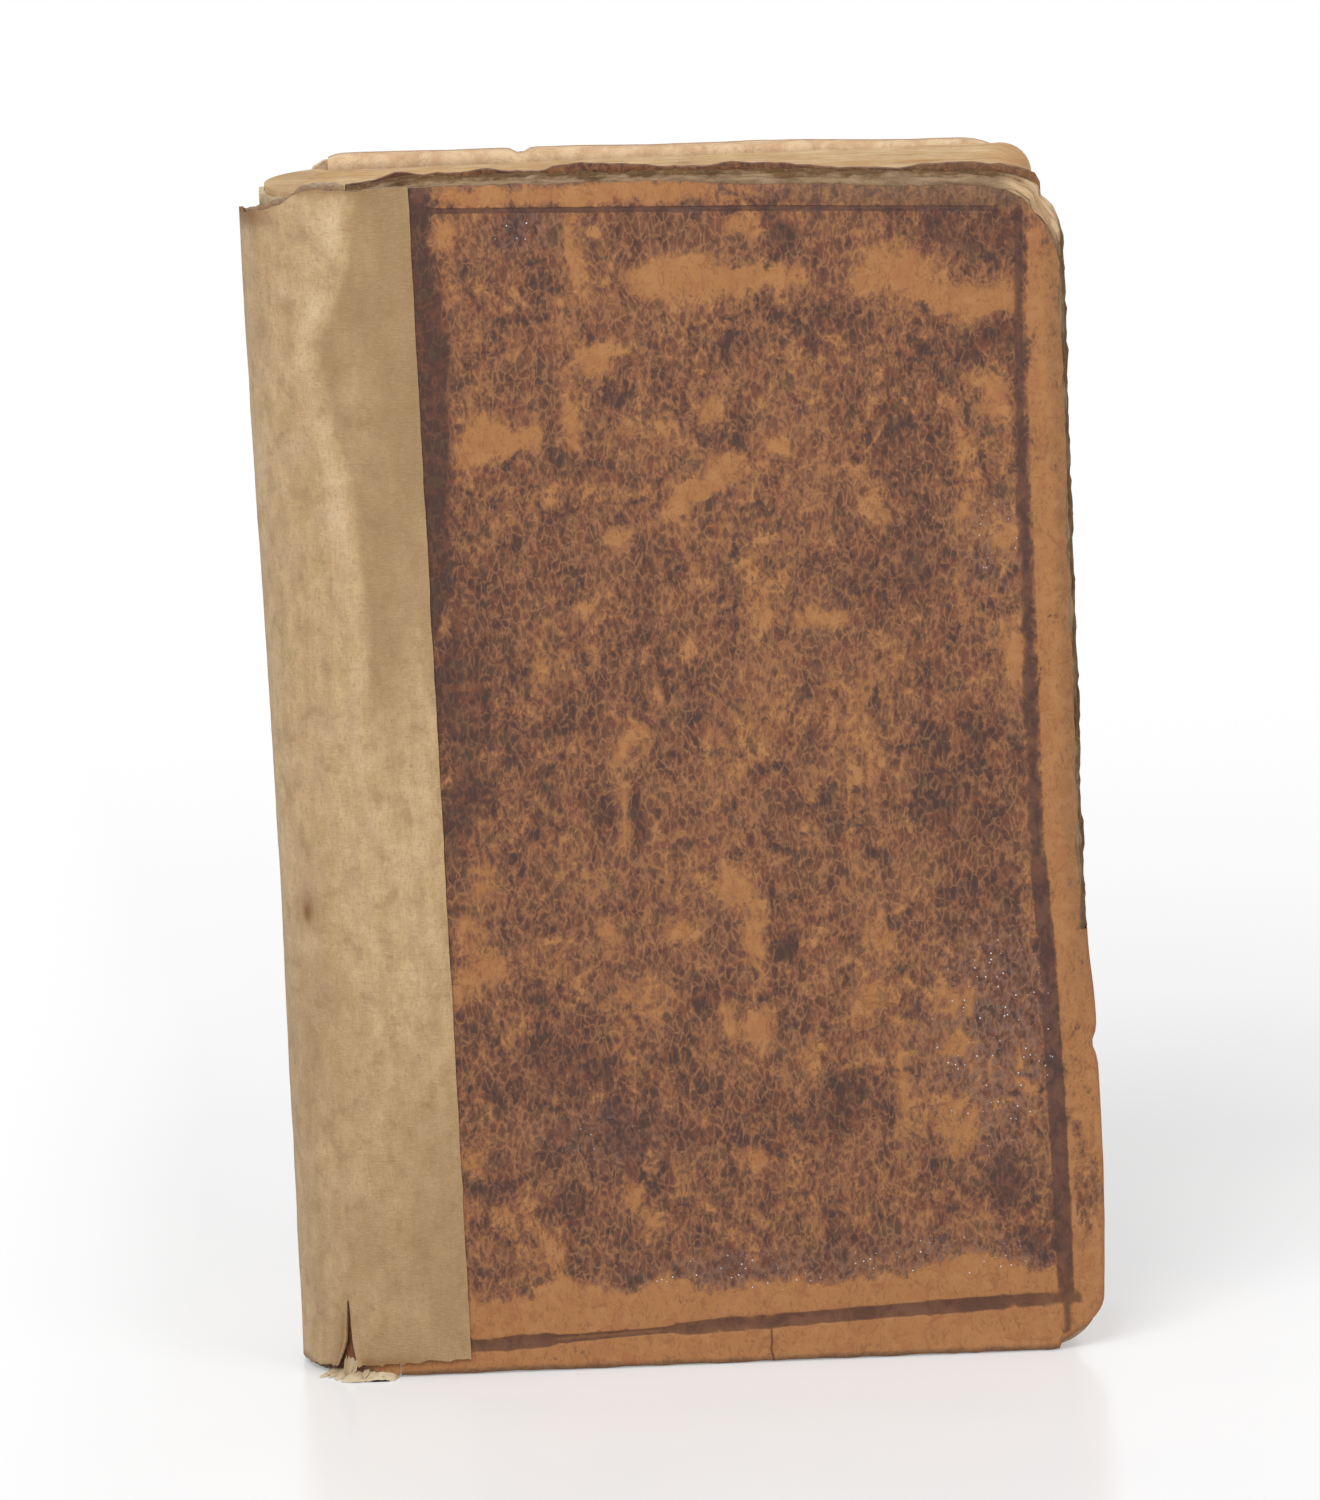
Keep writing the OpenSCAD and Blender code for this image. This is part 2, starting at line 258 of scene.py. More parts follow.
def weld(points, faces, step=0.002):
    """Joins points that lie within a step of each other, and drops faces that vanish."""
    keys = np.round(points / step).astype(np.int64)
    _, first, back = np.unique(keys, axis=0, return_index=True, return_inverse=True)
    back = back.ravel()
    welded = [tuple(dict.fromkeys(int(back[i]) for i in face)) for face in faces]
    return points[first], [face for face in welded if len(face) > 2]


# The covers' outline

TAIL_STEPS = 90
FORE_STEPS = 130
CORNER_STEPS = 14


class Cover:
    """What differs between the front cover and the back one."""

    def __init__(self, name, wear, head_r, bare):
        self.name = name
        self.wear = wear
        self.head_r = head_r
        self.bare = bare
        self.body = name + "_cover"
        self.seed = 100 if bare else 200

    def place(self, points):
        """Puts points drawn for the front cover on this one."""
        return points if self.bare else points * (1, -1, 1) - (COCK, 0, 0)

    def turn(self, faces):
        """Turns the faces over on the back cover, which is mirrored."""
        return faces if self.bare else flipped(faces)


FRONT = Cover("front", 3.4, 11.0, True)
BACK = Cover("back", 1.8, 12.0, False)
CORNER_TAIL_R = 8.5
# The part of the fore-edge's swelling that stands out of the leather's outline
SWELL_SHOWN = 0.7
SWELL_Z = 30.0
SWELL_SPREAD = 25.0


def head_z(x, cover):
    return COVER_H - cover.wear * (x / COVER_W) ** 2


def outline(cover, inset=0.0):
    """A cover's outline in X and Z, from its spine edge round by the tail, fore-edge and head."""
    head_r = max(cover.head_r - inset, 1.0)
    tail_r = max(CORNER_TAIL_R - inset, 1.0)
    fore = COVER_W - inset
    low = inset + tail_r
    high = head_z(fore - head_r, cover) - inset - head_r
    down = np.radians(np.linspace(-90, 0, CORNER_STEPS + 1))
    up = np.radians(np.linspace(0, 90, CORNER_STEPS + 1))
    tail_x = np.linspace(0, fore - tail_r, TAIL_STEPS + 1)[:-1]
    head_x = np.linspace(fore - head_r, 0, TAIL_STEPS + 1)[1:]
    path = np.vstack([
        as_pairs(tail_x, inset),
        as_pairs(fore - tail_r + tail_r * np.cos(down), low + tail_r * np.sin(down)),
        as_pairs(fore, np.linspace(low, high, FORE_STEPS + 1)[1:-1]),
        as_pairs(fore - head_r + head_r * np.cos(up), high + head_r * np.sin(up)),
        as_pairs(head_x, head_z(head_x, cover) - inset),
    ])
    swell = FORE_SWELL * SWELL_SHOWN * hump(path[:, 1], SWELL_Z, SWELL_SPREAD)
    path[:, 0] += swell * fade(path[:, 0], fore - tail_r, fore)
    return path


def inward(path):
    """Unit vectors that point into a cover, square to its outline."""
    run = np.gradient(path, axis=0)
    normal = np.stack([-run[:, 1], run[:, 0]], 1)
    normal /= np.linalg.norm(normal, axis=1)[:, None]
    normal[0] = (0, 1)
    normal[-1] = (0, -1)
    return normal


def path_length(path):
    steps = np.linalg.norm(np.diff(path, axis=0), axis=1)
    return np.concatenate([[0], np.cumsum(steps)])


BARE_HEAD = 1.2
BARE_HEAD_FAR = 1.9
BARE_FORE = 1.6
BARE_CORNER = 3.0
BARE_FROM_Z = 64.0
THINNED_FROM_Z = 52.0
# How far the middle of the rubbed corner lies in from the cover's edges
CORNER_IN = 3.2


def bare_zone(cover, path):
    """1 along the stretch of the outline where the leather is worn off the board, else 0."""
    above = (path[:, 1] > BARE_FROM_Z) & (np.arange(len(path)) > TAIL_STEPS)
    return above * float(cover.bare)


def near_corner(cover, path, half):
    """1 at the rubbed corner at the head, falling off over half."""
    middle = np.array([COVER_W - CORNER_IN, COVER_H - cover.wear - CORNER_IN])
    return hump(np.linalg.norm(path - middle, axis=1), 0, half)


def bare_width(path):
    """How far the leather's worn edge stands back from the outline."""
    corner = COVER_W - FRONT.head_r
    along_head = fade(path[:, 0], corner + 10, corner - 2)
    head = BARE_HEAD + (BARE_HEAD_FAR - BARE_HEAD) * fade(path[:, 0], 40, 75)
    width = BARE_FORE * (1 - along_head) + head * along_head
    return width + (BARE_CORNER - width) * near_corner(FRONT, path, 6.5)


# Pressed lines on the front cover, as points that each line passes

HEAD_LINE = [(13, 176.2), (60, 174.7), (95, 173.2)]
FORE_LINE = [(2, 99.7), (10, 99.6), (33, 99.2), (62, 98.4),
             (78, 97.3), (116, 97.2), (145, 97.0), (172, 97.7)]
TAIL_LINE = [(11, 4.5), (42, 5.9), (75, 7.4), (103, 8.5)]
WIDE_LINE = 2.5
NARROW_LINE = 0.8
LINE_DEPTH = 0.15
# A distance that is clear of every line
OFF_LINE = 9
# The back cover's lines are straight
BACK_FORE_X = 99.0
BACK_TAIL_Z = 6.0
BACK_HEAD_Z = 175.0
BACK_CROSSING = 1.5


def along(line, t):
    a, b = np.array(line).T
    return np.interp(t, a, b)


def line_gaps(x, z):
    """Distance from each of the three pressed lines, divided by half the line's width."""
    head = np.abs(z - along(HEAD_LINE, x)) / (NARROW_LINE / 2)
    fore = np.abs(x - along(FORE_LINE, z)) / (fore_line_width(z) / 2)
    tail = np.abs(z - along(TAIL_LINE, x)) / (tail_line_width(x) / 2)
    head = np.where((x > 11) & (x < 96.5), head, OFF_LINE)
    fore = np.where((z > 2) & (z < 173.5), fore, OFF_LINE)
    tail = np.where(x > 9, tail + OFF_LINE * fade(x, 101.5, 103.5), OFF_LINE)
    return head, fore, tail


def fore_line_width(z):
    """The fore-edge line is thin below the tail line and at the head."""
    return WIDE_LINE - 1.5 * (1 - fade(z, 8, 10)) - 0.6 * fade(z, 30, 90) - 0.3 * fade(z, 130, 165)


def tail_line_width(x):
    """The tail line is deep and wide at both ends and thin over one stretch."""
    thin = fade(x, 22, 24) * (1 - fade(x, 40, 43))
    return 2.1 - 0.9 * thin + 0.25 * soft_line(x, 6, 31)


def back_lines(x, z):
    """1 in the back cover's pressed lines."""
    over_z = np.minimum(np.abs(z - BACK_TAIL_Z), np.abs(z - BACK_HEAD_Z))
    gap = np.minimum(np.abs(x - BACK_FORE_X), over_z)
    inner = (x < BACK_FORE_X + 1) & (z > BACK_TAIL_Z - BACK_CROSSING) & (z < BACK_HEAD_Z + BACK_CROSSING)
    return np.where(inner, 1 - fade(gap, 0.8, 1.3), 0)


CRACK_X = 55.5
CRACK_TOP = 5.2


def crack(x, z):
    """1 in the middle of the crack in the leather at the tail."""
    middle = CRACK_X + 0.35 * np.sin(z * 1.3)
    return hump(x, middle, 0.3) * (1 - fade(z, 3.6, CRACK_TOP))


def leather_relief(cover, x, z):
    """How far the outer face stands out from flat, in millimetres."""
    out = 0.10 * rough_noise(x, z, 38, cover.seed) + 0.035 * rough_noise(x, z, 5, cover.seed + 7)
    if not cover.bare:
        return out - LINE_DEPTH * back_lines(x, z)
    for gap in line_gaps(x, z):
        out = out - LINE_DEPTH * (1 - fade(gap, 0.75, 1.15))
    return out - 0.35 * crack(x, z)


# Wear on the front cover. Each patch is its middle, half width, half height, tilt and strength.

TAN_PATCHES = [
    (36, 178, 28, 1.7, -1, 1.3), (14, 172, 2.2, 2, 0, 0.9), (33, 169, 1.4, 7, 8, 1),
    (53, 164.5, 8, 3.4, 0, 1.4), (44, 165.5, 5, 2.4, 0, 1.2), (63, 165, 6, 1.8, 5, 1),
    (57.5, 172, 2.8, 2.2, 0, 1), (80.5, 164, 5.5, 4, -20, 1.1), (91, 159.5, 8, 2.4, -5, 1.4),
    (74.5, 163, 2.2, 2, 0, 0.9), (35.5, 153.5, 3.2, 2.2, 25, 1.3), (31.5, 144, 1, 5, 0, 1),
    (17.5, 142, 3.4, 4.2, 0, 1.4), (23.5, 141.5, 4.4, 2.6, -8, 1.3), (51.5, 144.5, 1.8, 3, -15, 1),
    (50, 133.5, 8.5, 2.2, 30, 1), (37.5, 127, 1.9, 2.4, 0, 1.3), (77, 130, 2.4, 3.4, 0, 1),
    (61.5, 139, 2, 1.2, 0, 0.9), (57.5, 116.5, 2.8, 3.6, 20, 1), (67, 113.5, 5, 1.6, 0, 1),
    (87.5, 116, 1, 4.5, 0, 0.9), (88, 129, 1.2, 2.6, 0, 0.9), (88, 139, 1.1, 3, 0, 0.8),
    (94, 123.5, 1.8, 1.8, 0, 1.1), (93.5, 146, 2, 4.4, 0, 1), (94.5, 108, 1.5, 5, 0, 1),
    (11.5, 112.5, 6, 1, 75, 1.3), (26, 108.5, 1.4, 1.8, 0, 0.9), (33, 116, 2.4, 1, 0, 0.9),
    (50, 120, 2.2, 1, 0, 0.8), (38, 95.5, 4.8, 1.2, 60, 0.9), (55, 97.5, 7, 3, 0, 0.45),
    (36.8, 85, 0.9, 5.5, 0, 1.1), (13, 67.5, 2.6, 2.8, 0, 1.1), (15, 62.5, 3.4, 3, 0, 1.3),
    (11.5, 59, 2, 2.6, 0, 1), (15.5, 75.5, 2.8, 2.6, 30, 0.8), (31.5, 75, 1.6, 2.4, 0, 0.9),
    (34, 67, 1.4, 3.4, 0, 1), (25, 62, 5.5, 4, 0, 0.55), (44.5, 67, 2.8, 3.2, 0, 1),
    (53, 73, 3.2, 3.4, 0, 1.2), (55, 65, 1.9, 5.5, 0, 1.3), (37.5, 56, 5.5, 4, 0, 0.6),
    (56, 52.5, 2.3, 2.8, 0, 1.4), (51, 53, 1.3, 3, 0, 0.9), (74, 64.5, 2.4, 2.6, 0, 0.9),
    (84.5, 55, 4, 3.2, -20, 1), (84.5, 48, 2.6, 2.4, 0, 1), (76, 42.5, 1.1, 10, 0, 1),
    (84, 35, 4.2, 5, 10, 1.1), (71.5, 55, 1.7, 3.2, 0, 0.8), (62.5, 46.5, 1.7, 3.8, 0, 0.8),
    (53, 31.5, 2.4, 1.6, 0, 0.9), (19, 25, 3.4, 3.2, 0, 0.7), (21.5, 18, 4, 4, 0, 0.8),
    (36, 26, 1.3, 2.2, 15, 1.1), (37.6, 22, 0.9, 2.2, 0, 1), (94.5, 43, 1.5, 7.5, 0, 0.8),
    (12.5, 33, 2, 2.2, 0, 0.9), (96, 71, 1.2, 8, 0, 0.6), (47, 110, 2, 2, 0, 0.7),
    (36, 46, 4, 1, 90, 0.6), (66, 70, 4, 2, 0, 0.4), (25, 132, 5, 4, 0, 0.5),
]
DARK_PATCHES = [
    (10.5, 150, 2, 34, 0, 1.3), (10.5, 175, 1.6, 5, 0, 1.5), (12.5, 146, 2.4, 15, 0, 0.9),
    (25, 174, 3.2, 2.6, 0, 1), (44, 173, 6.5, 3, 0, 0.7), (63, 170.5, 3.2, 3, 0, 1),
    (88.5, 170.5, 9, 4, 0, 1.1), (65.5, 157, 5, 3, 0, 0.9), (92, 153, 7, 3.6, 0, 1.4),
    (55.5, 143, 1.7, 3.4, 0, 1), (29, 147, 1.7, 4, 0, 0.8), (42, 123.5, 2.3, 4, 0, 0.8),
    (68, 122, 2.3, 2.6, 0, 0.8), (14, 103.5, 4.5, 9, 0, 0.9), (25, 100, 6, 5, 0, 0.7),
    (79, 122, 8, 9, 0, 0.6), (39, 85, 1.3, 5.5, 0, 1.4), (14, 86, 4.5, 7, 0, 1),
    (33, 86, 2, 4.4, 0, 0.8), (91.5, 27, 4, 5.4, 0, 1.6), (93.5, 60, 3.4, 18, 0, 0.7),
    (59.5, 64, 1.8, 3.4, 0, 1.6), (47.5, 56, 1.8, 2.2, 0, 1), (23, 57.5, 3.4, 2.8, 0, 0.8),
    (31, 36, 10, 5.5, 0, 0.9), (16, 29, 4.5, 3, 0, 0.7), (67, 40, 5, 6, 0, 0.7),
    (22, 46, 10, 5, 0, 0.8), (49, 14.5, 4, 2.6, 0, 0.9), (69, 16, 8, 4, 0, 0.8),
    (35.5, 14, 2.2, 2.6, 0, 0.9), (94.5, 16.5, 3, 3.4, 0, 1), (50, 39, 7, 8, 0, 0.4),
    (85, 92, 9, 12, 0, 0.5), (62, 86, 9, 5, 0, 0.4), (47, 152, 9, 6, 0, 0.35),
    (40, 107, 9, 5, 0, 0.5), (88, 80, 8, 8, 0, 0.5), (75, 146, 8, 8, 0, 0.3),
]
# Height of the rubbed band along the tail
TAIL_BAND = [(10, 10), (20, 10.5), (25, 13.5), (31, 12.5), (35, 11), (40, 14), (47, 11.5), (57, 13.2),
             (63, 11.5), (76, 12), (82, 15.2), (91, 15.6), (95, 12.8), (105, 14)]
# Patches where the surface is still glossy
GLOSS_PATCHES = [(90, 48, 10, 18, 0, 1), (50, 14, 16, 4, 0, 0.8), (82, 15, 16, 4, 0, 0.8),
                 (93, 124, 6, 8, 0, 0.6), (26, 173, 6, 3, 0, 0.8), (31, 36, 11, 6, 0, 0.5)]
WEAR_LIMIT = 1.5


def patches(x, z, table):
    """The sum of soft-edged patches."""
    total = np.zeros(len(x))
    for cx, cz, half_w, half_h, tilt, strength in table:
        c = math.cos(math.radians(tilt))
        s = math.sin(math.radians(tilt))
        u = ((x - cx) * c + (z - cz) * s) / half_w
        v = ((z - cz) * c - (x - cx) * s) / half_h
        total += strength * np.exp(-((u * u + v * v) ** 1.5))
    return total


def front_wear(x, z):
    """How far the front cover's surface is rubbed: about -1 is dark, and 1 is bare tan."""
    warp_x = x + 1.4 * rough_noise(x, z, 5, 41)
    warp_z = z + 1.8 * rough_noise(x, z, 5, 51)
    wear = 1.25 * patches(warp_x, warp_z, TAN_PATCHES) - 0.75 * patches(warp_x, warp_z, DARK_PATCHES)
    wear = wear + 0.6 * rough_noise(x, z * 0.7, 9, 61) + 0.3 * rough_noise(x, z * 0.6, 24, 67) - 0.14
    band = along(TAIL_BAND, x) + 1.6 * rough_noise(x, z, 5, 71)
    wear = wear + 2.2 * fade(band - z, -2.0, 1.4)
    margin = x - along(FORE_LINE, z) - WIDE_LINE / 2
    rubbed = 1.65 - 0.8 * np.abs(rough_noise(x, z * 0.6, 3, 65))
    wear = wear + rubbed * fade(margin, -0.3, 0.3) * (1 - 0.5 * fade(z, 166, 172))
    wear = wear - 1.5 * fade(margin, 0.2, 1.2) * hump(z, 24, 7)
    by_strip = 1 - fade(x + 1.2 * rough_noise(x, z, 7, 75), 11.5, 14.5)
    wear = wear - 1.15 * by_strip * fade(z, 96, 112)
    return np.clip(wear, -WEAR_LIMIT, WEAR_LIMIT)


def pressed(x, z):
    """1 in the pressed lines, fading where the photographed line is faint."""
    rough = 0.3 * rough_noise(x, z, 1.8, 85)
    broken = 0.88 + 0.3 * rough_noise(x, z, 4, 81)
    doubled = fade(x, 22, 24) * (1 - fade(x, 38, 41)) * hump(z, along(TAIL_LINE, x) + 0.1, 0.2)
    strength = (
        0.95 - 0.3 * fade(x, 70, 95),
        1.0 - 0.35 * (1 - fade(z, 5, 11)),
        (1.0 - 0.35 * fade(x, 86, 100)) * (1 - 0.7 * doubled),
    )
    lines = [s * (1 - fade(gap + rough, 0.75, 1.2)) for s, gap in zip(strength, line_gaps(x, z))]
    return np.clip(np.max(lines, axis=0) * broken, 0, 1)


# Leather on a cover

ARRIS = 1.2
INNER_ARRIS = 0.8
THIN_EDGE = 0.3
# How far the torn turn-in stands up past the head of the front board, at the least and at the most
TORN_LOW = 0.35
TORN_HIGH = 1.15
# How far the front cover's head drops towards the spine
HEAD_DROP = 0.9
HEAD_DROP_W = 7.0
# The break at the front cover's tail corner
BREAK_X = 98.8
BREAK_DEPTH = 1.2
# The nick in the front cover's fore-edge
NICK_Z = 47.0
NICK_DEPTH = 0.8
NICK_HALF = 1.6
# The nick in the back cover's head edge
HEAD_NICK_X = 28.4
HEAD_NICK_DEPTH = 1.2
HEAD_NICK_HALF = 0.8
# Under this height an edge isn't let out, so that the tail stays above the floor
FLOOR_ZONE = 4
# How far in from the fore-edge the outline counts as the fore-edge
FORE_ZONE = 10
# The last loops of the leather lie on the cover's inner side
INNER_LOOPS = 5


def edge_dents(cover, base, length):
    """How far the cover's edge is knocked in: small dents all round, and the nicks that stand out."""
    x, z = base.T
    number = np.arange(len(base))
    on_head = number >= len(base) - TAIL_STEPS
    dents = 0.10 * rough_line(length, 9, cover.seed + 2)
    dents = np.where(number < TAIL_STEPS, 0.34 * np.abs(rough_line(length, 7, cover.seed + 4)), dents)
    dents = np.where(z < FLOOR_ZONE, np.maximum(dents, 0), dents)
    if cover.bare:
        on_fore = (x > COVER_W - FORE_ZONE) & ~on_head
        nick = NICK_DEPTH * hump(z, NICK_Z, NICK_HALF)
        past = fade(x, BREAK_X - 0.3, BREAK_X + 0.3) * (1 - fade(z, 1.2, 8))
        return dents + on_fore * (nick + BREAK_DEPTH * past) + on_head * HEAD_DROP * hump(x, 0, HEAD_DROP_W)
    nick = HEAD_NICK_DEPTH * np.exp(-((np.abs(x - HEAD_NICK_X) / HEAD_NICK_HALF) ** 1.3))
    return dents + on_head * (nick + 0.45 * hump(x, 0, 0.9) + 0.2 * rough_line(length, 12, 207))


def leather_loops(cover):
    """The loops that carry the leather from its face round the edge to the end of the turn-in.

    Each is a loop on the outer side and its partner on the inner side.
    """
    base = outline(cover)
    normal = inward(base)
    length = path_length(base)
    bare = bare_zone(cover, base)
    ragged = 0.42 * rough_line(length, 5, cover.seed + 1) + 0.2 * soft_line(length, 1.3, 5)
    thinned = cover.bare * (LEATHER_T - 0.08) * fade(base[:, 1], THINNED_FROM_Z, BARE_FROM_Z)
    thinned = thinned * (base[:, 0] > COVER_W - FORE_ZONE) * (base[:, 1] < BARE_FROM_Z + 4)
    dents = edge_dents(cover, base, length)
    edge = bare * (bare_width(base) + ragged) + (1 - bare) * ARRIS

    def ring(inset, y, outer=True):
        points = base + normal * (inset + dents + thinned * outer)[:, None]
        return as_points(points[:, 0], y, points[:, 1])

    def flat_ring(inset, y):
        x, z = outline(cover, inset).T
        return as_points(x, y, z)

    face_y = FACE_Y + bare * (LEATHER_T - THIN_EDGE)
    loops = [(ring(edge, face_y), ring(edge, BOARD_OUT_Y, False))]
    inner_r = ARRIS - LEATHER_T
    for turn in np.radians([25, 50, 72, 90]):
        out = ring(ARRIS * (1 - math.sin(turn)), FACE_Y + ARRIS * (1 - math.cos(turn)))
        under_y = BOARD_OUT_Y + inner_r * (1 - math.cos(turn))
        under = ring(LEATHER_T + inner_r * (1 - math.sin(turn)), under_y, False)
        loops.append((out, under))
    for y in (0.5 * (FACE_Y + TURN_IN_Y), TURN_IN_Y - INNER_ARRIS):
        loops.append((ring(0.04, y), ring(LEATHER_T, y - 0.1, False)))
    at_head = fade(base[:, 0], COVER_W - 2.5, COVER_W - 5) * bare
    rise = TORN_LOW + (TORN_HIGH - TORN_LOW) * fade(soft_line(length, 6, 9), -0.3, 0.4)
    rise = rise + 0.35 * rough_line(length, 2.2, 19) - 0.3 * (1 - fade(base[:, 0], 8, 16))
    torn = (1 - at_head) * (1.2 + 0.9 * np.abs(ragged)) - at_head * rise
    torn = bare * torn + (1 - bare) * INNER_ARRIS
    inner_y = TURN_IN_Y - INNER_ARRIS * 0.3
    loops.append((ring(INNER_ARRIS * 0.3, inner_y), ring(LEATHER_T, BOARD_IN_Y, False)))
    loops.append((ring(torn, TURN_IN_Y), ring(torn + 0.1, BOARD_IN_Y, False)))
    for inset in (4.0, 8.0, TURN_IN_W - 0.4):
        loops.append((flat_ring(inset, TURN_IN_Y), flat_ring(inset, BOARD_IN_Y)))
    loops.append((flat_ring(TURN_IN_W, TURN_IN_Y - 0.2), flat_ring(TURN_IN_W, BOARD_IN_Y)))
    return loops, bare


def line_rows(spacing):
    """Rows of points along the pressed lines, at their edges and in them."""
    fore_z = np.arange(3, 173, spacing)
    tail_x = np.arange(11, 96, spacing)
    head_x = np.arange(13, 95, spacing)
    rows = []
    for share in (-1.45, -1.15, -0.8, 0, 0.8, 1.15, 1.45):
        rows.append(as_pairs(along(FORE_LINE, fore_z) + share * WIDE_LINE / 2, fore_z))
        rows.append(as_pairs(tail_x, along(TAIL_LINE, tail_x) + share * tail_line_width(tail_x) / 2))
        rows.append(as_pairs(head_x, along(HEAD_LINE, head_x) + share * NARROW_LINE / 2))
    return np.vstack(rows)


def face_points(cover, border, spacing):
    """Points spread over the outer face, closer along the edges of the pressed lines."""
    rng = np.random.default_rng(cover.seed + 3)
    xs = np.arange(spacing, COVER_W, spacing)
    zs = np.arange(spacing, COVER_H, spacing)
    grid = np.stack(np.meshgrid(xs, zs), -1).reshape(-1, 2)
    grid = grid + rng.uniform(-0.25, 0.25, grid.shape) * spacing
    if cover.bare:
        gaps = np.min(line_gaps(*grid.T), axis=0)
        grid = np.vstack([grid[gaps > 1.6], line_rows(spacing)])
    grid = grid[inside(grid, border)]
    return grid[nearest(grid, border) > 0.45 * spacing]


def make_leather(cover, spacing, material):
    """Leather on the face, round the edges and turned in, worn through where it is bare."""
    loops, bare = leather_loops(cover)
    size = len(bare)
    first = loops[0][0][:, [0, 2]]
    spine = as_pairs(0.0, np.arange(first[-1, 1] - 2, first[0, 1] + 1, -2.0))
    border = np.vstack([first, spine])
    extra = face_points(cover, border, spacing)
    outer = [loop[0] for loop in loops] + [as_points(x[:, 0], FACE_Y, x[:, 1]) for x in (spine, extra)]
    inner = [loop[1] for loop in loops] + [as_points(spine[:, 0], BOARD_OUT_Y, spine[:, 1])]
    outer, inner = np.vstack(outer), np.vstack(inner)

    spine_ids = size * len(loops) + np.arange(len(spine))
    border_ids = np.concatenate([np.arange(size), spine_ids])
    extra_ids = spine_ids[-1] + 1 + np.arange(len(extra))
    face_ids = np.concatenate([border_ids, extra_ids])
    outer_face = [tuple(face_ids[i] for i in f) for f in fill(border, extra)]
    inner_face = [tuple(border_ids[i] for i in f) for f in fill(border, [])]

    def worn_off(face):
        on_edge = face[0] // size < len(loops) - INNER_LOOPS
        return on_edge and bare[face[0] % size] and bare[face[1] % size]

    wrap = flipped(f for f in grid_faces(len(loops), size) if not worn_off(f))
    outer[face_ids, 1] -= leather_relief(cover, outer[face_ids, 0], outer[face_ids, 2])
    if cover.bare:
        worn_edge = first[bare > 0]
        near = 1 - fade(nearest(extra, worn_edge), 0, 1.8)
        outer[extra_ids, 1] += near * (LEATHER_T - THIN_EDGE) * 0.9
    points, faces = thick_sheet(outer, inner, wrap, outer_face, inner_face)
    attributes = leather_attributes(cover, points, size, len(loops), len(outer))
    piece = make_piece(cover.name + "_calf", cover.place(points), cover.turn(faces), material, attributes)
    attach(piece, cover.body)
    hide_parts(cover.name + "_leather")


def leather_attributes(cover, points, size, loops, outer_count):
    """Wear, pressed lines, gloss, the turned-in side, soil with a painted shadow along the foot, and
    scuffs, for the leather's material.
    """
    x, y, z = points.T
    edge_loops = slice(size, size * (loops - INNER_LOOPS))
    inner_loops = slice(size * (loops - INNER_LOOPS), size * loops)
    fore_soil = fade(x + 0.8 * rough_noise(x, z, 4, 111), COVER_W - 4.2, COVER_W - 2.6) * fade(z, 40, 75)
    if cover.bare:
        wear = front_wear(x, z)
        line = pressed(x, z)
        gloss = patches(x, z, GLOSS_PATCHES)
        # Darker within about 5 mm of the head, towards the fore-edge.
        head_darkening = fade(z - head_z(x, cover), -5.2, -4.4) * fade(x, 58, 72)
        # Painted shadow: the leather darkens along its lowest millimetre, where the cover stands on the
        # floor.
        painted_foot_shadow = 0.9 * (1 - fade(z + 0.5 * rough_noise(x, z, 2.5, 115), 0.7, 1.3))
        soil = np.clip(0.45 * fore_soil + 0.6 * head_darkening + painted_foot_shadow, 0, 1)
        scuff = np.zeros(len(points))
    else:
        edge = np.minimum(COVER_W - x, np.minimum(z, COVER_H - z))
        wear = 0.75 * rough_noise(x, z * 0.8, 14, 91) + 0.5 * rough_noise(x, z, 5, 95) - 0.15
        wear = wear + 1.6 * (1 - fade(edge + 1.5 * rough_noise(x, z, 6, 97), 1.0, 6.0))
        line = 0.9 * back_lines(x, z)
        gloss = 0.5 + 0.5 * soft_noise(x, z, 20, 99)
        soil = 0.4 * fore_soil
        scuff = fade(z + 0.6 * rough_noise(x, z, 4, 113) - head_z(x, cover), -3.0, -1.6)
        scuff = scuff * fade(y, FACE_Y + 1.3, FACE_Y + 2.2)
    turned = np.zeros(len(points))
    turned[inner_loops] = 1
    turned[outer_count:] = 0.5
    at_edge = np.zeros(len(points))
    at_edge[edge_loops] = 1
    wear = wear * (1 - at_edge) + at_edge * np.clip(wear + 0.6, 0.2, WEAR_LIMIT)
    if not cover.bare:
        arris = (y < FACE_Y + ARRIS) * fade(z, COVER_H - 9, COVER_H - 6) * fade(x, 0, 4)
        wear = wear - 2.0 * at_edge * arris
    line = line * (1 - at_edge) * (1 - turned)
    wear = np.clip(wear, -WEAR_LIMIT, WEAR_LIMIT)
    gloss = np.clip(gloss, 0, 1)
    return {"wear": wear, "pressed": line, "gloss": gloss, "turned": turned, "soil": soil, "scuff": scuff}


# Pasteboard

PLIES = 5
# How far in the board's flat faces begin
FLAT_IN = 5.0
# Gap between the board and the leather over it
BOARD_GAP = 0.02


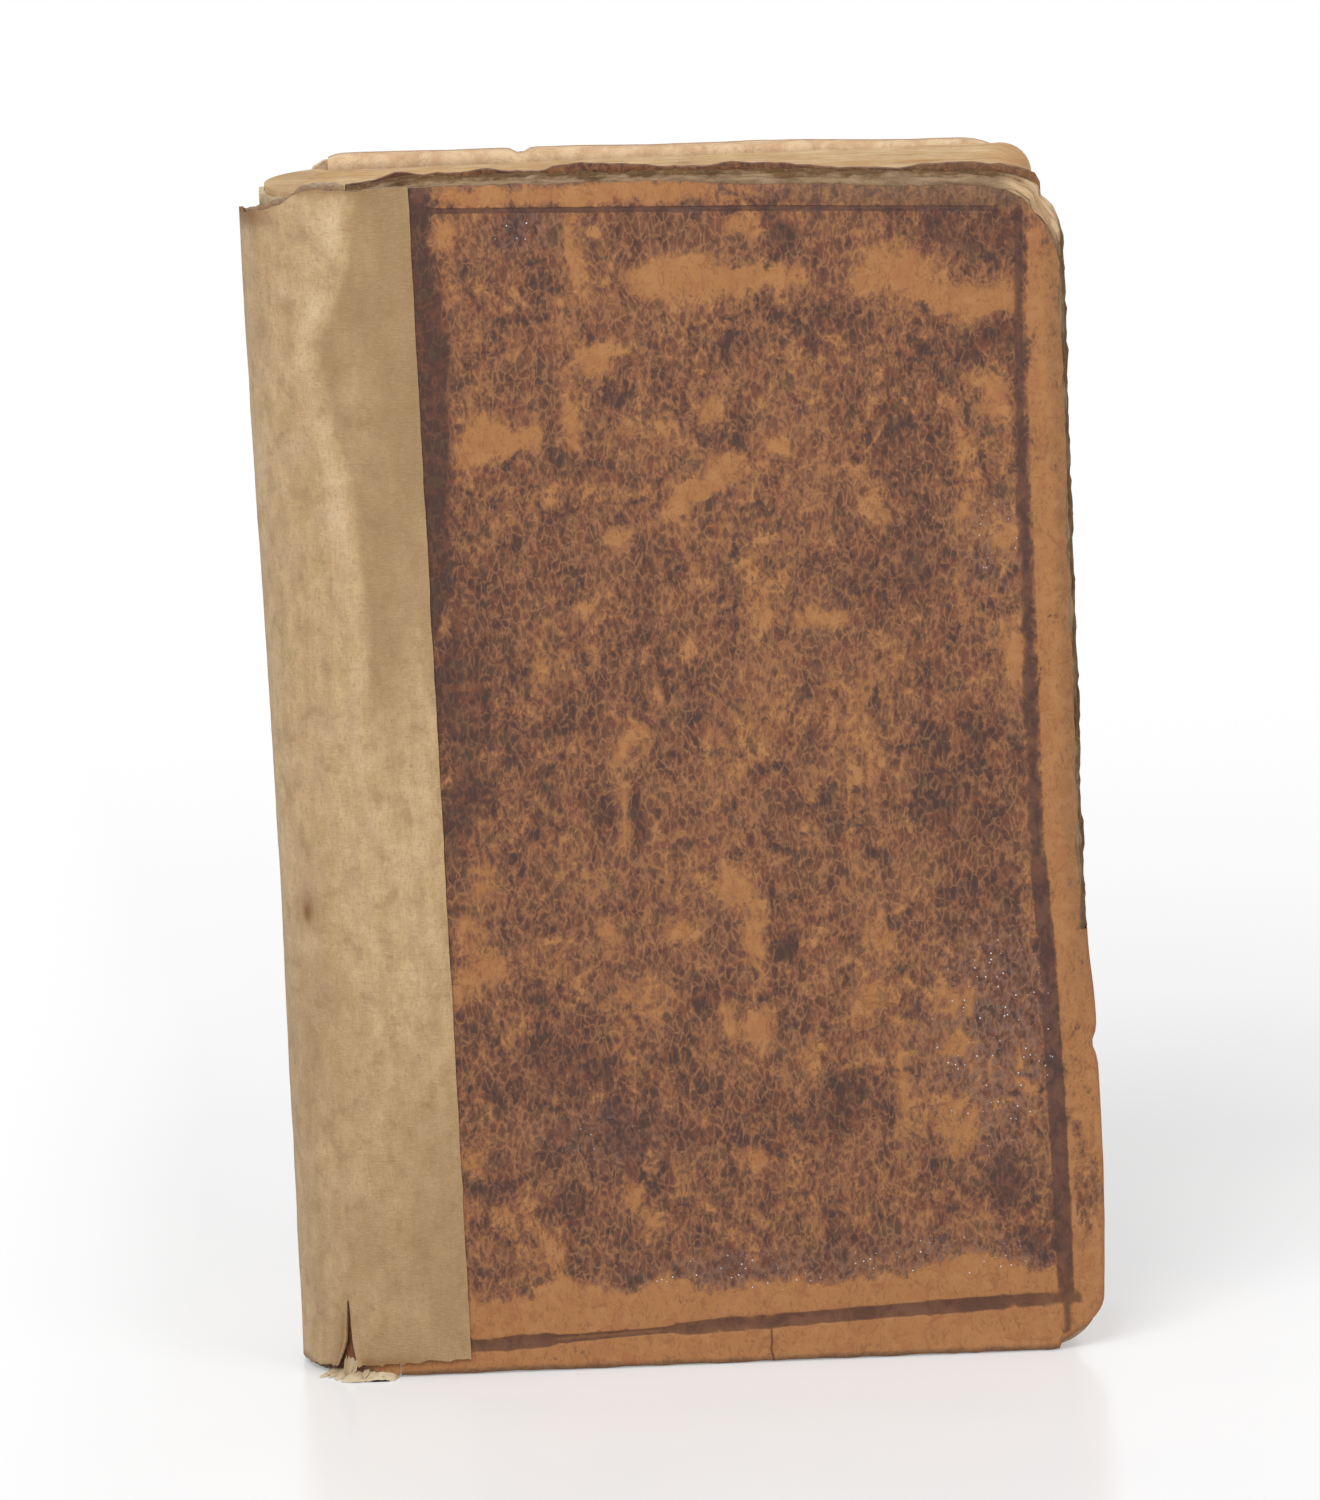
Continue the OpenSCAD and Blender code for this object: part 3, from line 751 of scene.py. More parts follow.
def make_board(cover, material):
    """Pasteboard in pasted layers, soft and torn where the leather is worn off."""
    base = outline(cover)
    normal = inward(base)
    length = path_length(base)
    bare = bare_zone(cover, base)
    size = len(base)
    on_head = (np.arange(size) >= size - TAIL_STEPS - CORNER_STEPS // 2) * 1.0
    inset = LEATHER_T + 0.05 - on_head * bare * LEATHER_T
    ply = (BOARD_IN_Y - BOARD_OUT_Y) / PLIES
    drop = edge_dents(cover, base, length) * on_head
    corner = bare * near_corner(cover, base, 6.0)
    wavy = 0.12 * rough_line(length, 6, cover.seed + 11) * bare

    def ring(extra, y):
        points = base + normal * (inset + extra + drop)[:, None]
        return as_points(points[:, 0], y, points[:, 1])

    rings = [ring(FLAT_IN, BOARD_OUT_Y + BOARD_GAP)]
    depths = [0.0]
    for share in (4.2, 3.4, 2.6, 2.0):
        rough_edge = 0.3 * rough_noise(length, share + 0 * length, 3, 17)
        y = BOARD_OUT_Y + BOARD_GAP - wavy * 0.6 + 0.25 * corner * (4.2 - share)
        rings.append(ring(share + rough_edge, y))
        depths.append(0.0)
    for k in range(PLIES):
        outward = 1 - k / (PLIES - 1)
        worn = outward**1.5 + corner * outward - 0.15 * (1 - outward)
        torn = 0.26 * rough_line(length, 4, cover.seed + 20 + k) + 0.16 * soft_line(length, 0.9, 40 + k)
        for share, drawn_in in ((0.10, 0.10), (0.45, 0.0), (0.85, 0.04)):
            rings.append(ring(bare * (worn + torn + drawn_in), BOARD_OUT_Y + (k + share) * ply))
            depths.append((k + share) / PLIES)
    rings.append(ring(FLAT_IN, BOARD_IN_Y))
    depths.append(1.0)
    starts = size * np.arange(len(rings))
    faces = flipped(grid_faces(len(rings), size))
    faces.append(tuple(range(size)))
    faces.append(tuple(starts[-1] + i for i in reversed(range(size))))
    faces.append((*starts, *(starts[::-1] + size - 1)))
    attributes = {"ply": np.repeat(depths, size), "corner": np.tile(corner, len(rings))}
    points = cover.place(np.vstack(rings))
    piece = make_piece(cover.name + "_pasteboard", points, cover.turn(faces), material, attributes)
    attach(piece, cover.body)
    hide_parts(cover.name + "_board")


# The leaves

SECTIONS = 16
LEAVES_SHOWN = 10
HOLLOW = 2.304
LEAF_LEAN = 0.4
LEAF_CORNER_R = 4.5
LEAF_TAIL_R = 2.25
BEND = 14.0
BLOCK_R = 11.65
BACK_LEAF_A = 105.0
FRONT_LEAF_A = 270.0
# How far apart points lie on the outermost leaves
LEAF_SPACING = 1.6


def leaf_fore(t):
    """X of the leaves' fore-edge. t runs from 0 at the front leaf to 1 at the back leaf."""
    return leaves_high[0] - LEAF_LEAN * t - HOLLOW * (1 - (2 * t - 1) ** 2)


def leaf_plan(t, u):
    """A point of leaf t in plan: u is 0 at the rounded corner, 1 where the bend starts, 2 at the fold."""
    y = 2 * LEAF_HALF * (t - 0.5)
    corner_x = SPINE_X - COCK * t
    start_x = corner_x + BEND * (1 - 0.9 * np.abs(2 * t - 1) ** 2.5)
    fore_x = leaf_fore(t) - LEAF_CORNER_R
    end_x, end_y = round_point(BLOCK_R, FRONT_LEAF_A - t * (FRONT_LEAF_A - BACK_LEAF_A))
    v = np.clip(u - 1, 0, 1)
    bent_x = (1 - v) ** 2 * start_x + 2 * v * (1 - v) * corner_x + v * v * end_x
    bent_y = (1 - v * v) * y + v * v * end_y
    straight_x = fore_x + (start_x - fore_x) * np.clip(u, 0, 1)
    return np.where(u < 1, straight_x, bent_x), np.where(u < 1, y, bent_y)


def round_point(r, angle):
    """X and Y of a point at this radius and angle, in degrees, round the spine's axis."""
    angle = np.radians(angle)
    return SPINE_X + r * np.cos(angle), r * np.sin(angle)


def leaf_ridge(t, along_edge, seed):
    """Unevenness of the leaves' edges: per section, per leaf, and along each leaf."""
    section = np.floor(t * SECTIONS * 0.9999)
    within = t * SECTIONS - section
    groove = -0.28 * hump(np.minimum(within, 1 - within), 0, 0.07)
    per_section = 0.16 * soft_noise(section * 3.7, along_edge / 45 + section, 1, seed)
    per_leaf = 0.13 * soft_noise(t * SECTIONS * LEAVES_SHOWN, along_edge / 14, 1, seed + 1)
    return groove + per_section + per_leaf + 0.05 * soft_noise(t * 300, along_edge, 2, seed + 2)


def leaf_ends(t, z, side, seed):
    """The leaves' ends at the head, with side 1, or at the tail, with side -1."""
    u = np.concatenate([np.linspace(0, 1, 60), np.linspace(1, 2, 16)[1:]])
    tt, uu = np.meshgrid(t, u, indexing="ij")
    x, y = leaf_plan(tt, uu)
    lift = leaf_ridge(tt, x, seed) * np.minimum(1, (2 - uu) * 2)
    height = np.clip(z + side * lift, leaves_low[2], leaves_high[2])
    faces = grid_faces(*tt.shape)
    return np.stack([x, y, height], -1), faces if side < 0 else flipped(faces)


def make_leaves(material):
    """The sewn text block: each face is a grid, and the grids share their borders."""
    t = np.linspace(0, 1, SECTIONS * LEAVES_SHOWN + 1)
    head, head_faces = leaf_ends(t, leaves_high[2] - 0.25, 1, 11)
    tail, tail_faces = leaf_ends(t, leaves_low[2] + 0.15, -1, 21)
    fore, fore_faces = fore_edge(t, head[:, 0], tail[:, 0])
    back, back_faces = folds(head[:, -1], tail[:, -1])
    parts = [(head, head_faces), (tail, tail_faces), (fore, fore_faces), (back, back_faces)]
    for side in (0, -1):
        parts.append(outer_leaf(head[side], tail[side], fore[side], back[side], side))
    points, faces = weld(*join(parts))
    piece = make_piece("leaves", points, faces, material, sharp=50)
    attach(piece, "text")
    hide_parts("text_block")


def fore_edge(t, head_line, tail_line):
    """The hollow fore-edge, with its rounded corners."""
    up = np.radians(np.linspace(0, 90, 9))[1:-1]
    high, low = head_line[:, 2], tail_line[:, 2]
    fore = leaf_fore(t)
    y = tail_line[:, 1]
    columns = [tail_line]
    for a in up[::-1]:
        z = low + LEAF_TAIL_R * (1 - np.sin(a))
        columns.append(as_points(fore - LEAF_CORNER_R * (1 - np.cos(a)), y, z))
    for share in np.linspace(0, 1, 88):
        z = (low + LEAF_TAIL_R) * (1 - share) + (high - LEAF_CORNER_R) * share
        lift = leaf_ridge(t, z, 31) * smooth(share * 20) * smooth((1 - share) * 20)
        columns.append(as_points(fore + lift, y, z))
    for a in up:
        z = high - LEAF_CORNER_R * (1 - np.sin(a))
        columns.append(as_points(fore - LEAF_CORNER_R * (1 - np.cos(a)), y, z))
    columns.append(head_line)
    points = np.stack(columns, 1)
    return points, grid_faces(*points.shape[:2])


def folds(head_line, tail_line):
    """The rounded back, where each section is a fold."""
    share = np.linspace(0, 1, 60)[None, :, None]
    points = tail_line[:, None, :] * (1 - share) + head_line[:, None, :] * share
    return points, flipped(grid_faces(*points.shape[:2]))


def outer_leaf(head_line, tail_line, fore_line, back_line, side):
    """The first leaf, with side 0, or the last one, with side -1. Both are slightly cockled."""
    border = np.vstack([tail_line[::-1], fore_line[1:-1], head_line, back_line[::-1][1:-1]])
    run = path_length(head_line[:, :2])
    place = -np.interp(border[:, 0], head_line[::-1, 0], run[::-1])
    flat_border = as_pairs(place, border[:, 2])
    grid = np.meshgrid(np.arange(-110, 0, LEAF_SPACING), np.arange(2, 180, LEAF_SPACING))
    extra = np.stack(grid, -1).reshape(-1, 2)
    extra = extra[inside(extra, flat_border)]
    extra = extra[nearest(extra, flat_border) > 0.9]
    x = np.interp(-extra[:, 0], run, head_line[:, 0])
    y = np.interp(-extra[:, 0], run, head_line[:, 1])
    deep = fade(nearest(extra, flat_border), 0, 6)
    inner = 1 if side == 0 else -1
    y = y + inner * deep * 0.12 * (1 + rough_noise(x, extra[:, 1], 16, 301))
    points = np.vstack([border, as_points(x, y, extra[:, 1])])
    faces = fill(flat_border, extra)
    return points, faces if side == 0 else flipped(faces)


# The cloth strip

STRIP_R = -FACE_Y
FRONT_JOINT_A = 270.0
SEAM_A = 165.0
BACK_JOINT_A = 102.0
# Distances across the strip from the front joint to the halves' seam and to the back joint
SEAM_D = math.radians(FRONT_JOINT_A - SEAM_A) * STRIP_R
BACK_D = math.radians(FRONT_JOINT_A - BACK_JOINT_A) * STRIP_R
REACH_HEAD = 9.2
REACH_TAIL = 10.6
SPLIT_D = 7.0
SPLIT_TOP = 12.2
SPLIT_MOUTH_Z = 6.0
SPLIT_LEFT = 2.4
SPLIT_RIGHT = 1.0
STRIP_STEP = 0.62
JOINT_CREASE = [(60, -0.2), (89, -0.1), (101, -0.4), (116, 0.2), (129, -0.8), (139, -1.9), (146, -3.4),
                (153, -4.4), (156, -5.1), (159, -4.2), (163, -2.2), (167, -1.2), (174, 0.0), (180, 1.9)]
STRIP_HEAD_Z = COVER_H - 1.1
STRIP_HEAD_WEAR = 4.3
STRIP_WEAR_X = -6.0
STRIP_TAIL_Z = 2.6
STRIP_SPINE_Z = 0.4
# How far the strip's worn top lies lower on the far side of the spine
BEHIND_DROP = 1.6
# How far the spine stands out loosely past its layers, at the foot and at the head
BULGE_TAIL = 0.2
BULGE_HEAD = 1.3
# Where the cloth's bend at an opening joint starts on the cover and ends on the spine
BEND_START_X = 1.6
BEND_END_X = -3.6
MIDDLE_Z = 90


def strip_plan(d):
    """A point on the leather under the strip, and the outward direction there.

    d is the distance across the strip: 0 at the front joint, negative on the front cover.
    """
    angle = np.radians(FRONT_JOINT_A) - np.clip(d, 0, BACK_D) / STRIP_R
    nx, ny = np.cos(angle), np.sin(angle)
    past = np.clip(d - BACK_D, 0, None)
    x = np.where(d < 0, SPINE_X - d, SPINE_X + STRIP_R * nx) + past
    y = STRIP_R * ny
    y = np.where(d > BACK_D, y + (STRIP_R - y) * fade(past, 0, 1.5), y)
    nx = np.where((d < 0) | (d > BACK_D), nx * (1 - fade(past, 0, 1.0)) * (d > BACK_D), nx)
    ny = np.where(d < 0, -1.0, np.where(d > BACK_D, 1.0, ny))
    return x, y, nx, ny


def strip_top(x):
    """Z of the strip's upper edge, level on the covers and worn down over the spine."""
    left_x = SPINE_X - STRIP_R
    share = np.clip((STRIP_WEAR_X - x) / (STRIP_WEAR_X - left_x), 0, 1)
    return STRIP_HEAD_Z - STRIP_HEAD_WEAR * (1 - (1 - share) ** 1.4)


def strip_bottom(x):
    """Z of the strip's lower edge, which comes down to the floor over the spine."""
    share = np.clip((x - SPINE_X + STRIP_R) / STRIP_R, 0, 1)
    return STRIP_SPINE_Z + (STRIP_TAIL_Z - STRIP_SPINE_Z) * share**0.6


def bulge(x, z):
    """How far the loose spine stands out to the side, most of all at the head."""
    share = np.clip((SPINE_X - x) / STRIP_R, 0, 1) ** 1.5
    return share * (BULGE_TAIL + (BULGE_HEAD - BULGE_TAIL) * fade(z, 60, 185))


def past_crease(d, z):
    """Distance from the crease near the front joint, towards the cover."""
    return -d + SPINE_X - along(JOINT_CREASE, z)


def strip_relief(d, z):
    """How far the cloth stands out over its own thickness: a long crease, and a dip at the joint."""
    near = past_crease(d, z)
    strength = fade(z, 96, 160)
    fold = 0.55 * hump(near, -2.4, 2.3) - 0.22 * hump(near, 0.3, 1.3)
    fold = fold * (1 + 0.4 * rough_noise(d, z, 9, 405)) + 0.35 * hump(near, 3.4, 1.8)
    low_dip = hump(d, SPINE_X + 0.2, 1.5) * (1 - strength)
    out = strength * fold - 0.12 * low_dip
    out = out + 0.16 * rough_noise(d, z * 0.3, 5, 401) + 0.06 * rough_noise(d, z * 0.15, 1.6, 411)
    return out + 0.04 * rough_noise(d, z, 2.5, 421)


# Stains on the cloth: distance across it from the front joint, height, two half sizes, strength
CLOTH_STAINS = [(10.5, 72, 1.6, 2.6, 0.7), (10.8, 71, 0.7, 1.2, 0.5), (-2, 80, 0.4, 0.4, 0.7),
                (-1.5, 65, 0.35, 0.35, 0.7), (-6, 42, 0.4, 0.35, 0.7), (-3.5, 118, 0.3, 0.3, 0.5)]


def cloth_stains_and_shade(d, z):
    """Brown spots, darker bands along the strip's ends, and painted shade beside the split, where the cloth
    curls.
    """
    stain = np.zeros(len(d))
    for at_d, at_z, half_d, half_z, strength in CLOTH_STAINS:
        stain += strength * hump(d, at_d, half_d) * hump(z, at_z, half_z)
    edge = 0.9 * (1 - fade(z + 0.9 * rough_noise(d, z, 3, 461), 0.7, 2.2)) * fade(d, 5, 10)
    # Painted shade on the cloth beside the split, where it curls away.
    painted_split_shade = np.exp(-np.clip(d - SPLIT_D, 0, 99) / 1.1) * (d > SPLIT_D) * (1 - fade(z, 7, SPLIT_TOP))
    hem = 0.6 * (1 - fade(z + 0.7 * rough_noise(d, z, 2.2, 469), 2.3, 4.0)) * fade(d, -7, 0) * fade(d, 7, 5)
    top = 0.85 * fade(z + 0.9 * rough_noise(d, z, 2.5, 465), 172.8, 175.0) * fade(d, 9, 15)
    top = top + 0.5 * fade(z + 0.5 * rough_noise(d, z, 2.0, 467), 178.6, 179.8) * fade(d, -7, -1)
    end = 0.5 * fade(d, 16, 22) * (0.5 + 0.5 * soft_noise(d, z * 0.1, 1.2, 463))
    return np.clip(stain + edge + hem + painted_split_shade + top + 0.35 * end, 0, 1)


def cloth_shade(d, z):
    """Painted shade, above 0, and painted light, below 0: mostly on both sides of the crease, shade in its
    hollow and light on its ridge, with the cloth also darker towards the bottom and varying at random.
    """
    near = past_crease(d, z)
    strength = fade(z, 96, 150)
    ridge = hump(near, -2.2, 2.1) * (0.3 + 1.1 * rough_noise(d, z, 6, 475))
    hollow = fade(near + 0.6 * rough_noise(d, z, 5, 477), -1.4, 1.4) * (1 - 0.35 * fade(near, 1.0, 8))
    joint = fade(z, 80, 112) * hollow - 0.6 * strength * ridge
    low = 0.6 * (1 - fade(z + 6 * rough_noise(d, z, 18, 471), 25, 90)) * (1 - fade(d, 8, 20))
    low = low - 0.35 * hump(d, 9, 3.5) * (1 - fade(z, 30, 60))
    return np.clip(joint + low + 0.6 * rough_noise(d, z * 0.4, 8, 473), -1, 1)


def make_strip_half(name, d_cover, nodes, material):
    """Half of the strip, from its edge on a cover to the line where the halves meet."""
    rows = int(COVER_H / STRIP_STEP / 1.15)
    columns = int(abs(SEAM_D - d_cover) / STRIP_STEP + REACH_TAIL / STRIP_STEP)
    ss, vv = np.meshgrid(np.linspace(0, 1, columns), np.linspace(0, 1, rows))
    reach = REACH_TAIL + (REACH_HEAD - REACH_TAIL) * vv + 0.10 * rough_line(vv * COVER_H, 3, 431)
    edge_d = SPINE_X - reach if name == "front" else d_cover + reach
    dd = edge_d * (1 - ss) + SEAM_D * ss
    x, y, nx, ny = strip_plan(dd)
    fray_low = 0.35 * rough_line(dd, 2.2, 441) + 0.25 * soft_line(dd, 0.8, 445)
    fray_low = fray_low + 0.5 * fade(dd, 12, 16) * np.abs(soft_line(dd, 1.1, 447))
    fray_top = 0.35 * rough_line(dd, 3.0, 451) + 0.15 * soft_line(dd, 0.9, 455)
    bottom = np.maximum(strip_bottom(x) + fray_low, 0.06)
    top = strip_top(x) + fray_top - BEHIND_DROP * fade(dd, SEAM_D - 3, SEAM_D + 1)
    zz = bottom + (top - bottom) * vv
    thick = 0.30 + (STRIP_T - 0.35) * fade(np.abs(dd - edge_d), 0, 1.4) + strip_relief(dd, zz)
    thick = np.maximum(thick, 0.2)
    x = x - bulge(x, zz)
    outer, inner = (np.stack([x + nx * out, y + ny * out, zz], -1) for out in (thick, 0.03))
    if name == "front":
        points, faces, rest = open_split(outer, inner, dd, zz)
    else:
        points, faces = thick_sheet(outer.reshape(-1, 3), inner.reshape(-1, 3), grid_faces(rows, columns))
        rest = as_points(dd, zz, 0)
    rest = np.vstack([rest, rest])
    attributes = {"rest": rest / MM}
    # The stain attribute holds brown spots, darker ends and painted shade beside the split.
    attributes["stain"] = cloth_stains_and_shade(rest[:, 0], rest[:, 1])
    attributes["shade"] = cloth_shade(rest[:, 0], rest[:, 1])
    piece = make_piece("cloth_strip_" + name, points, faces, material, attributes, sharp=50)
    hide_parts(*nodes)
    return piece


def open_split(outer, inner, dd, zz):
    """Opens the torn split: the columns beside it part, and their points are doubled."""
    rows, columns = dd.shape
    column = int(np.argmin(np.abs(dd[5] - SPLIT_D)))
    open_rows = zz[:, column] < SPLIT_TOP
    slit = np.clip(1 - zz / SPLIT_TOP, 0, 1)
    mouth = np.clip(1 - zz / SPLIT_MOUTH_Z, 0, 1) ** 1.3
    _, _, nx, ny = strip_plan(dd)

    def parted(sheet, side, opening, curled):
        """The sheet with the part on one side of the split pulled away from it."""
        away = side * (0.15 + 0.75 * slit + opening * mouth) * np.exp(-np.abs(dd - SPLIT_D) / 2.5)
        away = away * open_rows[:, None]
        curl = 0.6 * np.exp(-np.abs(dd - SPLIT_D) / 1.1) * slit * curled
        return sheet + np.stack([away * ny + nx * curl, ny * curl - away * nx, 0 * nx], -1)

    spine_part = (np.arange(columns) > column)[None, :, None]
    sheets = []
    for sheet in (outer, inner):
        spine_side = parted(sheet, 1.0, SPLIT_LEFT, 1.0)
        cover_side = parted(sheet, -1.0, SPLIT_RIGHT, 0.4)
        merged = np.where(spine_part, spine_side, cover_side)
        sheets.append(np.vstack([merged.reshape(-1, 3), spine_side[open_rows, column]]))
    index = np.arange(rows * columns).reshape(rows, columns)
    doubled = index.copy()
    doubled[open_rows, column] = rows * columns + np.arange(open_rows.sum())
    faces = []
    for r in range(rows - 1):
        for c in range(columns - 1):
            source = doubled if c >= column else index
            faces.append((source[r, c], source[r, c + 1], source[r + 1, c + 1], source[r + 1, c]))
    rest = np.stack([dd, zz, 0 * dd], -1)
    return *thick_sheet(*sheets, faces), np.vstack([rest.reshape(-1, 3), rest[open_rows, column]])


def make_strip(material):
    """The cloth strip as two halves, one from each cover's edge to the line where they meet over the spine.
    """
    front = make_strip_half("front", 0.0, ["front_strip", "spine_strip"], material)
    back = make_strip_half("back", BACK_D, ["back_strip"], material)
    for piece, name, joint_x, y, width in (
        (front, "front", 0.0, FACE_Y, SEAM_D + REACH_TAIL),
        (back, "back", -COCK, -FACE_Y, BACK_D - SEAM_D + REACH_TAIL),
    ):
        start, end = metres([(joint_x + x, y, MIDDLE_Z) for x in (BEND_START_X, BEND_END_X)])
        tuple(start)
        tuple(end)
        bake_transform(piece)


# What is left of the leather and the lining on the spine

LINING_INNER_R = 11.7
LINING_OUTER_R = 12.5
CALF_INNER_R = 12.55
CALF_OUTER_R = 13.5
# Layers further out than this have come loose with the cloth
LOOSE_R = 13.0
# The layers run on a little past the round, so that no slit shows at the joint
JOINT_FILL_A = 1.8
# Length of a degree of the spine's round, for the scale of its ragged edges
DEGREE = 0.24


def spine_shell(inner_r, outer_r, top, bottom, seed):
    """A layer of the spine with ragged ends. top and bottom give Z for an angle in degrees."""
    angles = np.linspace(FRONT_JOINT_A + JOINT_FILL_A, BACK_JOINT_A - JOINT_FILL_A, 150)
    middle = np.linspace(0.08, 0.92, 26)[1:-1]
    v = np.concatenate([np.linspace(0, 0.08, 14), middle, np.linspace(0.92, 1, 14)])
    aa, vv = np.meshgrid(angles, v)
    low, high = bottom(aa), top(aa)
    z = low + (high - low) * vv
    bump = 0.06 * rough_noise(aa * 0.25, z, 3, seed)
    sides = []
    for r in (outer_r - 0.06 + bump, inner_r):
        x, y = round_point(r, aa)
        sides.append(as_points(x - bulge(x, z) * (outer_r > LOOSE_R), y, z))
    return thick_sheet(*sides, grid_faces(len(v), len(angles)))


def make_spine_leather(material):
    def top(a):
        x, _ = round_point(STRIP_R, a)
        jag = 0.7 * rough_line(a * DEGREE, 3.2, 501) + 0.3 * soft_line(a * DEGREE, 0.9, 503)
        shown = np.minimum(strip_top(x) + 0.45 + jag, COVER_H - 0.1)
        hidden = strip_top(x) - 3.4 + 0.3 * jag
        by_back = COVER_H - 0.9 - 0.8 * fade(a, BACK_JOINT_A, BACK_JOINT_A + 8)
        hidden = hidden + (by_back - hidden) * fade(a, BACK_JOINT_A + 10.5, BACK_JOINT_A + 8)
        return hidden + (shown - hidden) * fade(a, 172, 186)

    def bottom(a):
        torn = fade(a, 215, 228) * (1 - fade(a, 255, 262))
        jag = 0.5 + 0.5 * rough_line(a * DEGREE, 2.4, 511) + 0.25 * soft_line(a * DEGREE, 0.7, 513)
        return SPINE_TAIL_Z + 0.1 + np.clip(jag, 0, 1) * (0.3 + 0.9 * torn)

    points, faces = join([spine_shell(CALF_INNER_R, CALF_OUTER_R, top, bottom, 521), headcap()])
    x, y, z = points.T
    at_top = fade(z, 90, 100)
    by_front = (1 - at_top) * fade(x, -7, -4)
    by_back = at_top * fade(y, 10, 11.5)
    attributes = {
        "wear": 0.25 + 0.5 * rough_noise(x, z, 3, 531) + 0.7 * by_front,
        "pressed": 0 * x,
        "gloss": 0 * x + 0.3,
        "turned": 0.95 - 0.6 * by_front,
        "soil": 0.8 * at_top * (1 - by_back),
        "scuff": at_top * (0.32 + 0.6 * by_back),
    }
    piece = make_piece("spine_calf", points, faces, material, attributes)
    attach(piece, "text")
    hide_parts("spine_leather")


def headcap():
    """The leather turned in over the spine's head: a torn flap that lies on the leaves."""
    aa, ss = np.meshgrid(np.linspace(FRONT_JOINT_A, 196, 60), np.linspace(0, 1, 7))
    width = (3.3 + 0.7 * rough_line(aa * DEGREE, 3, 541)) * (1 - 0.8 * fade(aa, 240, 200))
    x, y = round_point(13.3 - width * ss, aa)
    edge_x, _ = round_point(STRIP_R, aa)
    z = np.minimum(strip_top(edge_x) + 0.55, COVER_H - 0.6)
    z = z + 0.22 * rough_noise(aa * DEGREE, ss * 3, 1.5, 543) + 0.3 * ss * (1 - ss)
    top = as_points(x, y, z)
    return thick_sheet(top, top - (0, 0, 0.3), grid_faces(*aa.shape))


# The lining's shreds leave it at this radius, and go no further forward than this
FLAKE_R = 12.3
FLAKE_MIN_Y = -15.0
FRINGE_FROM_A = 218.0
FRINGE_TO_A = 271.0
# Shreds of the lining beside the split, as their angle and the height that they start at
TALL_FLAKES = ((240, 6.0), (243, 5.0))
# Layers of the fringe, as the height that each starts at and how far it reaches
FRINGE_LAYERS = ((0.7, 3.3), (1.3, 2.9), (2.0, 2.3))


def flake(angle, start_z, length, width, lift, seed):
    """A shred of torn paper that hangs from the lining's foot and curls out to the floor."""
    rng = np.random.default_rng(seed)
    out = np.array([math.cos(math.radians(angle)), math.sin(math.radians(angle))])
    across = np.array([-out[1], out[0]])
    n, m = 12, 9
    skew = rng.uniform(-1.4, 1.4)
    edge = rng.uniform(-0.5, 0.5, m)
    rows = []
    for i in range(n):
        s = i / (n - 1)
        reach = FLAKE_R + length * smooth(1.3 * s)
        z = 0.25 + (start_z - 0.25) * (1 - smooth(1.25 * s)) + lift * s * s
        wide = width * (1 - 0.75 * s**1.5 + 0.2 * rng.uniform(-1, 1))
        for j in range(m):
            c = (j / (m - 1) - 0.5) * wide + skew * s
            wave = 0.16 * math.sin(j * 1.7 + seed) * s
            x, y = out * (reach + edge[j] * s) + across * c
            rows.append((SPINE_X + x, max(y, FLAKE_MIN_Y), max(z + wave + 0.07 * rng.uniform(-1, 1), 0.18)))
    top = np.array(rows)
    return thick_sheet(top, top - (0, 0, 0.12), grid_faces(n, m))


def fringe(start_z, reach, seed):
    """A layer of the lining's torn foot, turned outwards, with a ragged edge that lies on the floor."""
    aa, ss = np.meshgrid(np.linspace(FRINGE_FROM_A, FRINGE_TO_A, 110), np.linspace(0, 1, 9))
    run = aa * DEGREE
    ragged = 0.55 * rough_line(run, 2.0, seed) + 0.35 * soft_line(run, 0.5, seed + 1)
    ends = fade(aa, FRINGE_FROM_A, FRINGE_FROM_A + 7) * fade(aa, FRINGE_TO_A, FRINGE_TO_A - 4)
    x, y = round_point(FLAKE_R + reach * (1 + ragged) * (0.25 + 0.75 * ends) * smooth(ss * 1.1), aa)
    z = 0.2 + start_z * (1 - ss) ** 1.6 + 0.16 * rough_noise(run, ss * 2, 1.1, seed + 2) * ss
    top = as_points(x, np.maximum(y, FLAKE_MIN_Y), np.maximum(z, 0.17))
    return thick_sheet(top, top - (0, 0, 0.13), grid_faces(*aa.shape))


def make_lining(material):
    def top(a):
        return lining_high[2] + 0.5 * rough_line(a * 0.2, 2.5, 601) - 0.3

    def bottom(a):
        return lining_low[2] + 0.3 + 0.3 * rough_line(a * 0.2, 1.5, 611)

    parts = [spine_shell(LINING_INNER_R, LINING_OUTER_R, top, bottom, 621)]
    rng = np.random.default_rng(631)
    for k, (start_z, reach) in enumerate(FRINGE_LAYERS):
        parts.append(fringe(start_z, reach, 650 + 10 * k))
    for k in range(9):
        angle = 226 + 4.2 * k + rng.uniform(-1.5, 1.5)
        start_z = rng.uniform(0.8, 2.2)
        length, width, lift = rng.uniform(2.0, 3.1), rng.uniform(0.7, 1.6), rng.uniform(0, 0.5)
        parts.append(flake(angle, start_z, length, width, lift, 640 + k))
    for angle, start_z in TALL_FLAKES:
        parts.append(flake(angle, start_z, 2.0, 2.2, 0.1, 690 + angle))
    points, faces = join(parts)
    piece = make_piece("lining_paper", points, faces, material)
    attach(piece, "text")
    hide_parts("spine_lining")


# Materials. Colours are 8-bit display colours, and textures take sizes in millimetres.


def srgb(r, g, b):
    """An 8-bit display colour as the linear colour that shaders take."""
    shares = (c / 255 for c in (r, g, b))
    linear = (c / 12.92 if c <= 0.04045 else ((c + 0.055) / 1.055) ** 2.4 for c in shares)
    return (*linear, 1.0)


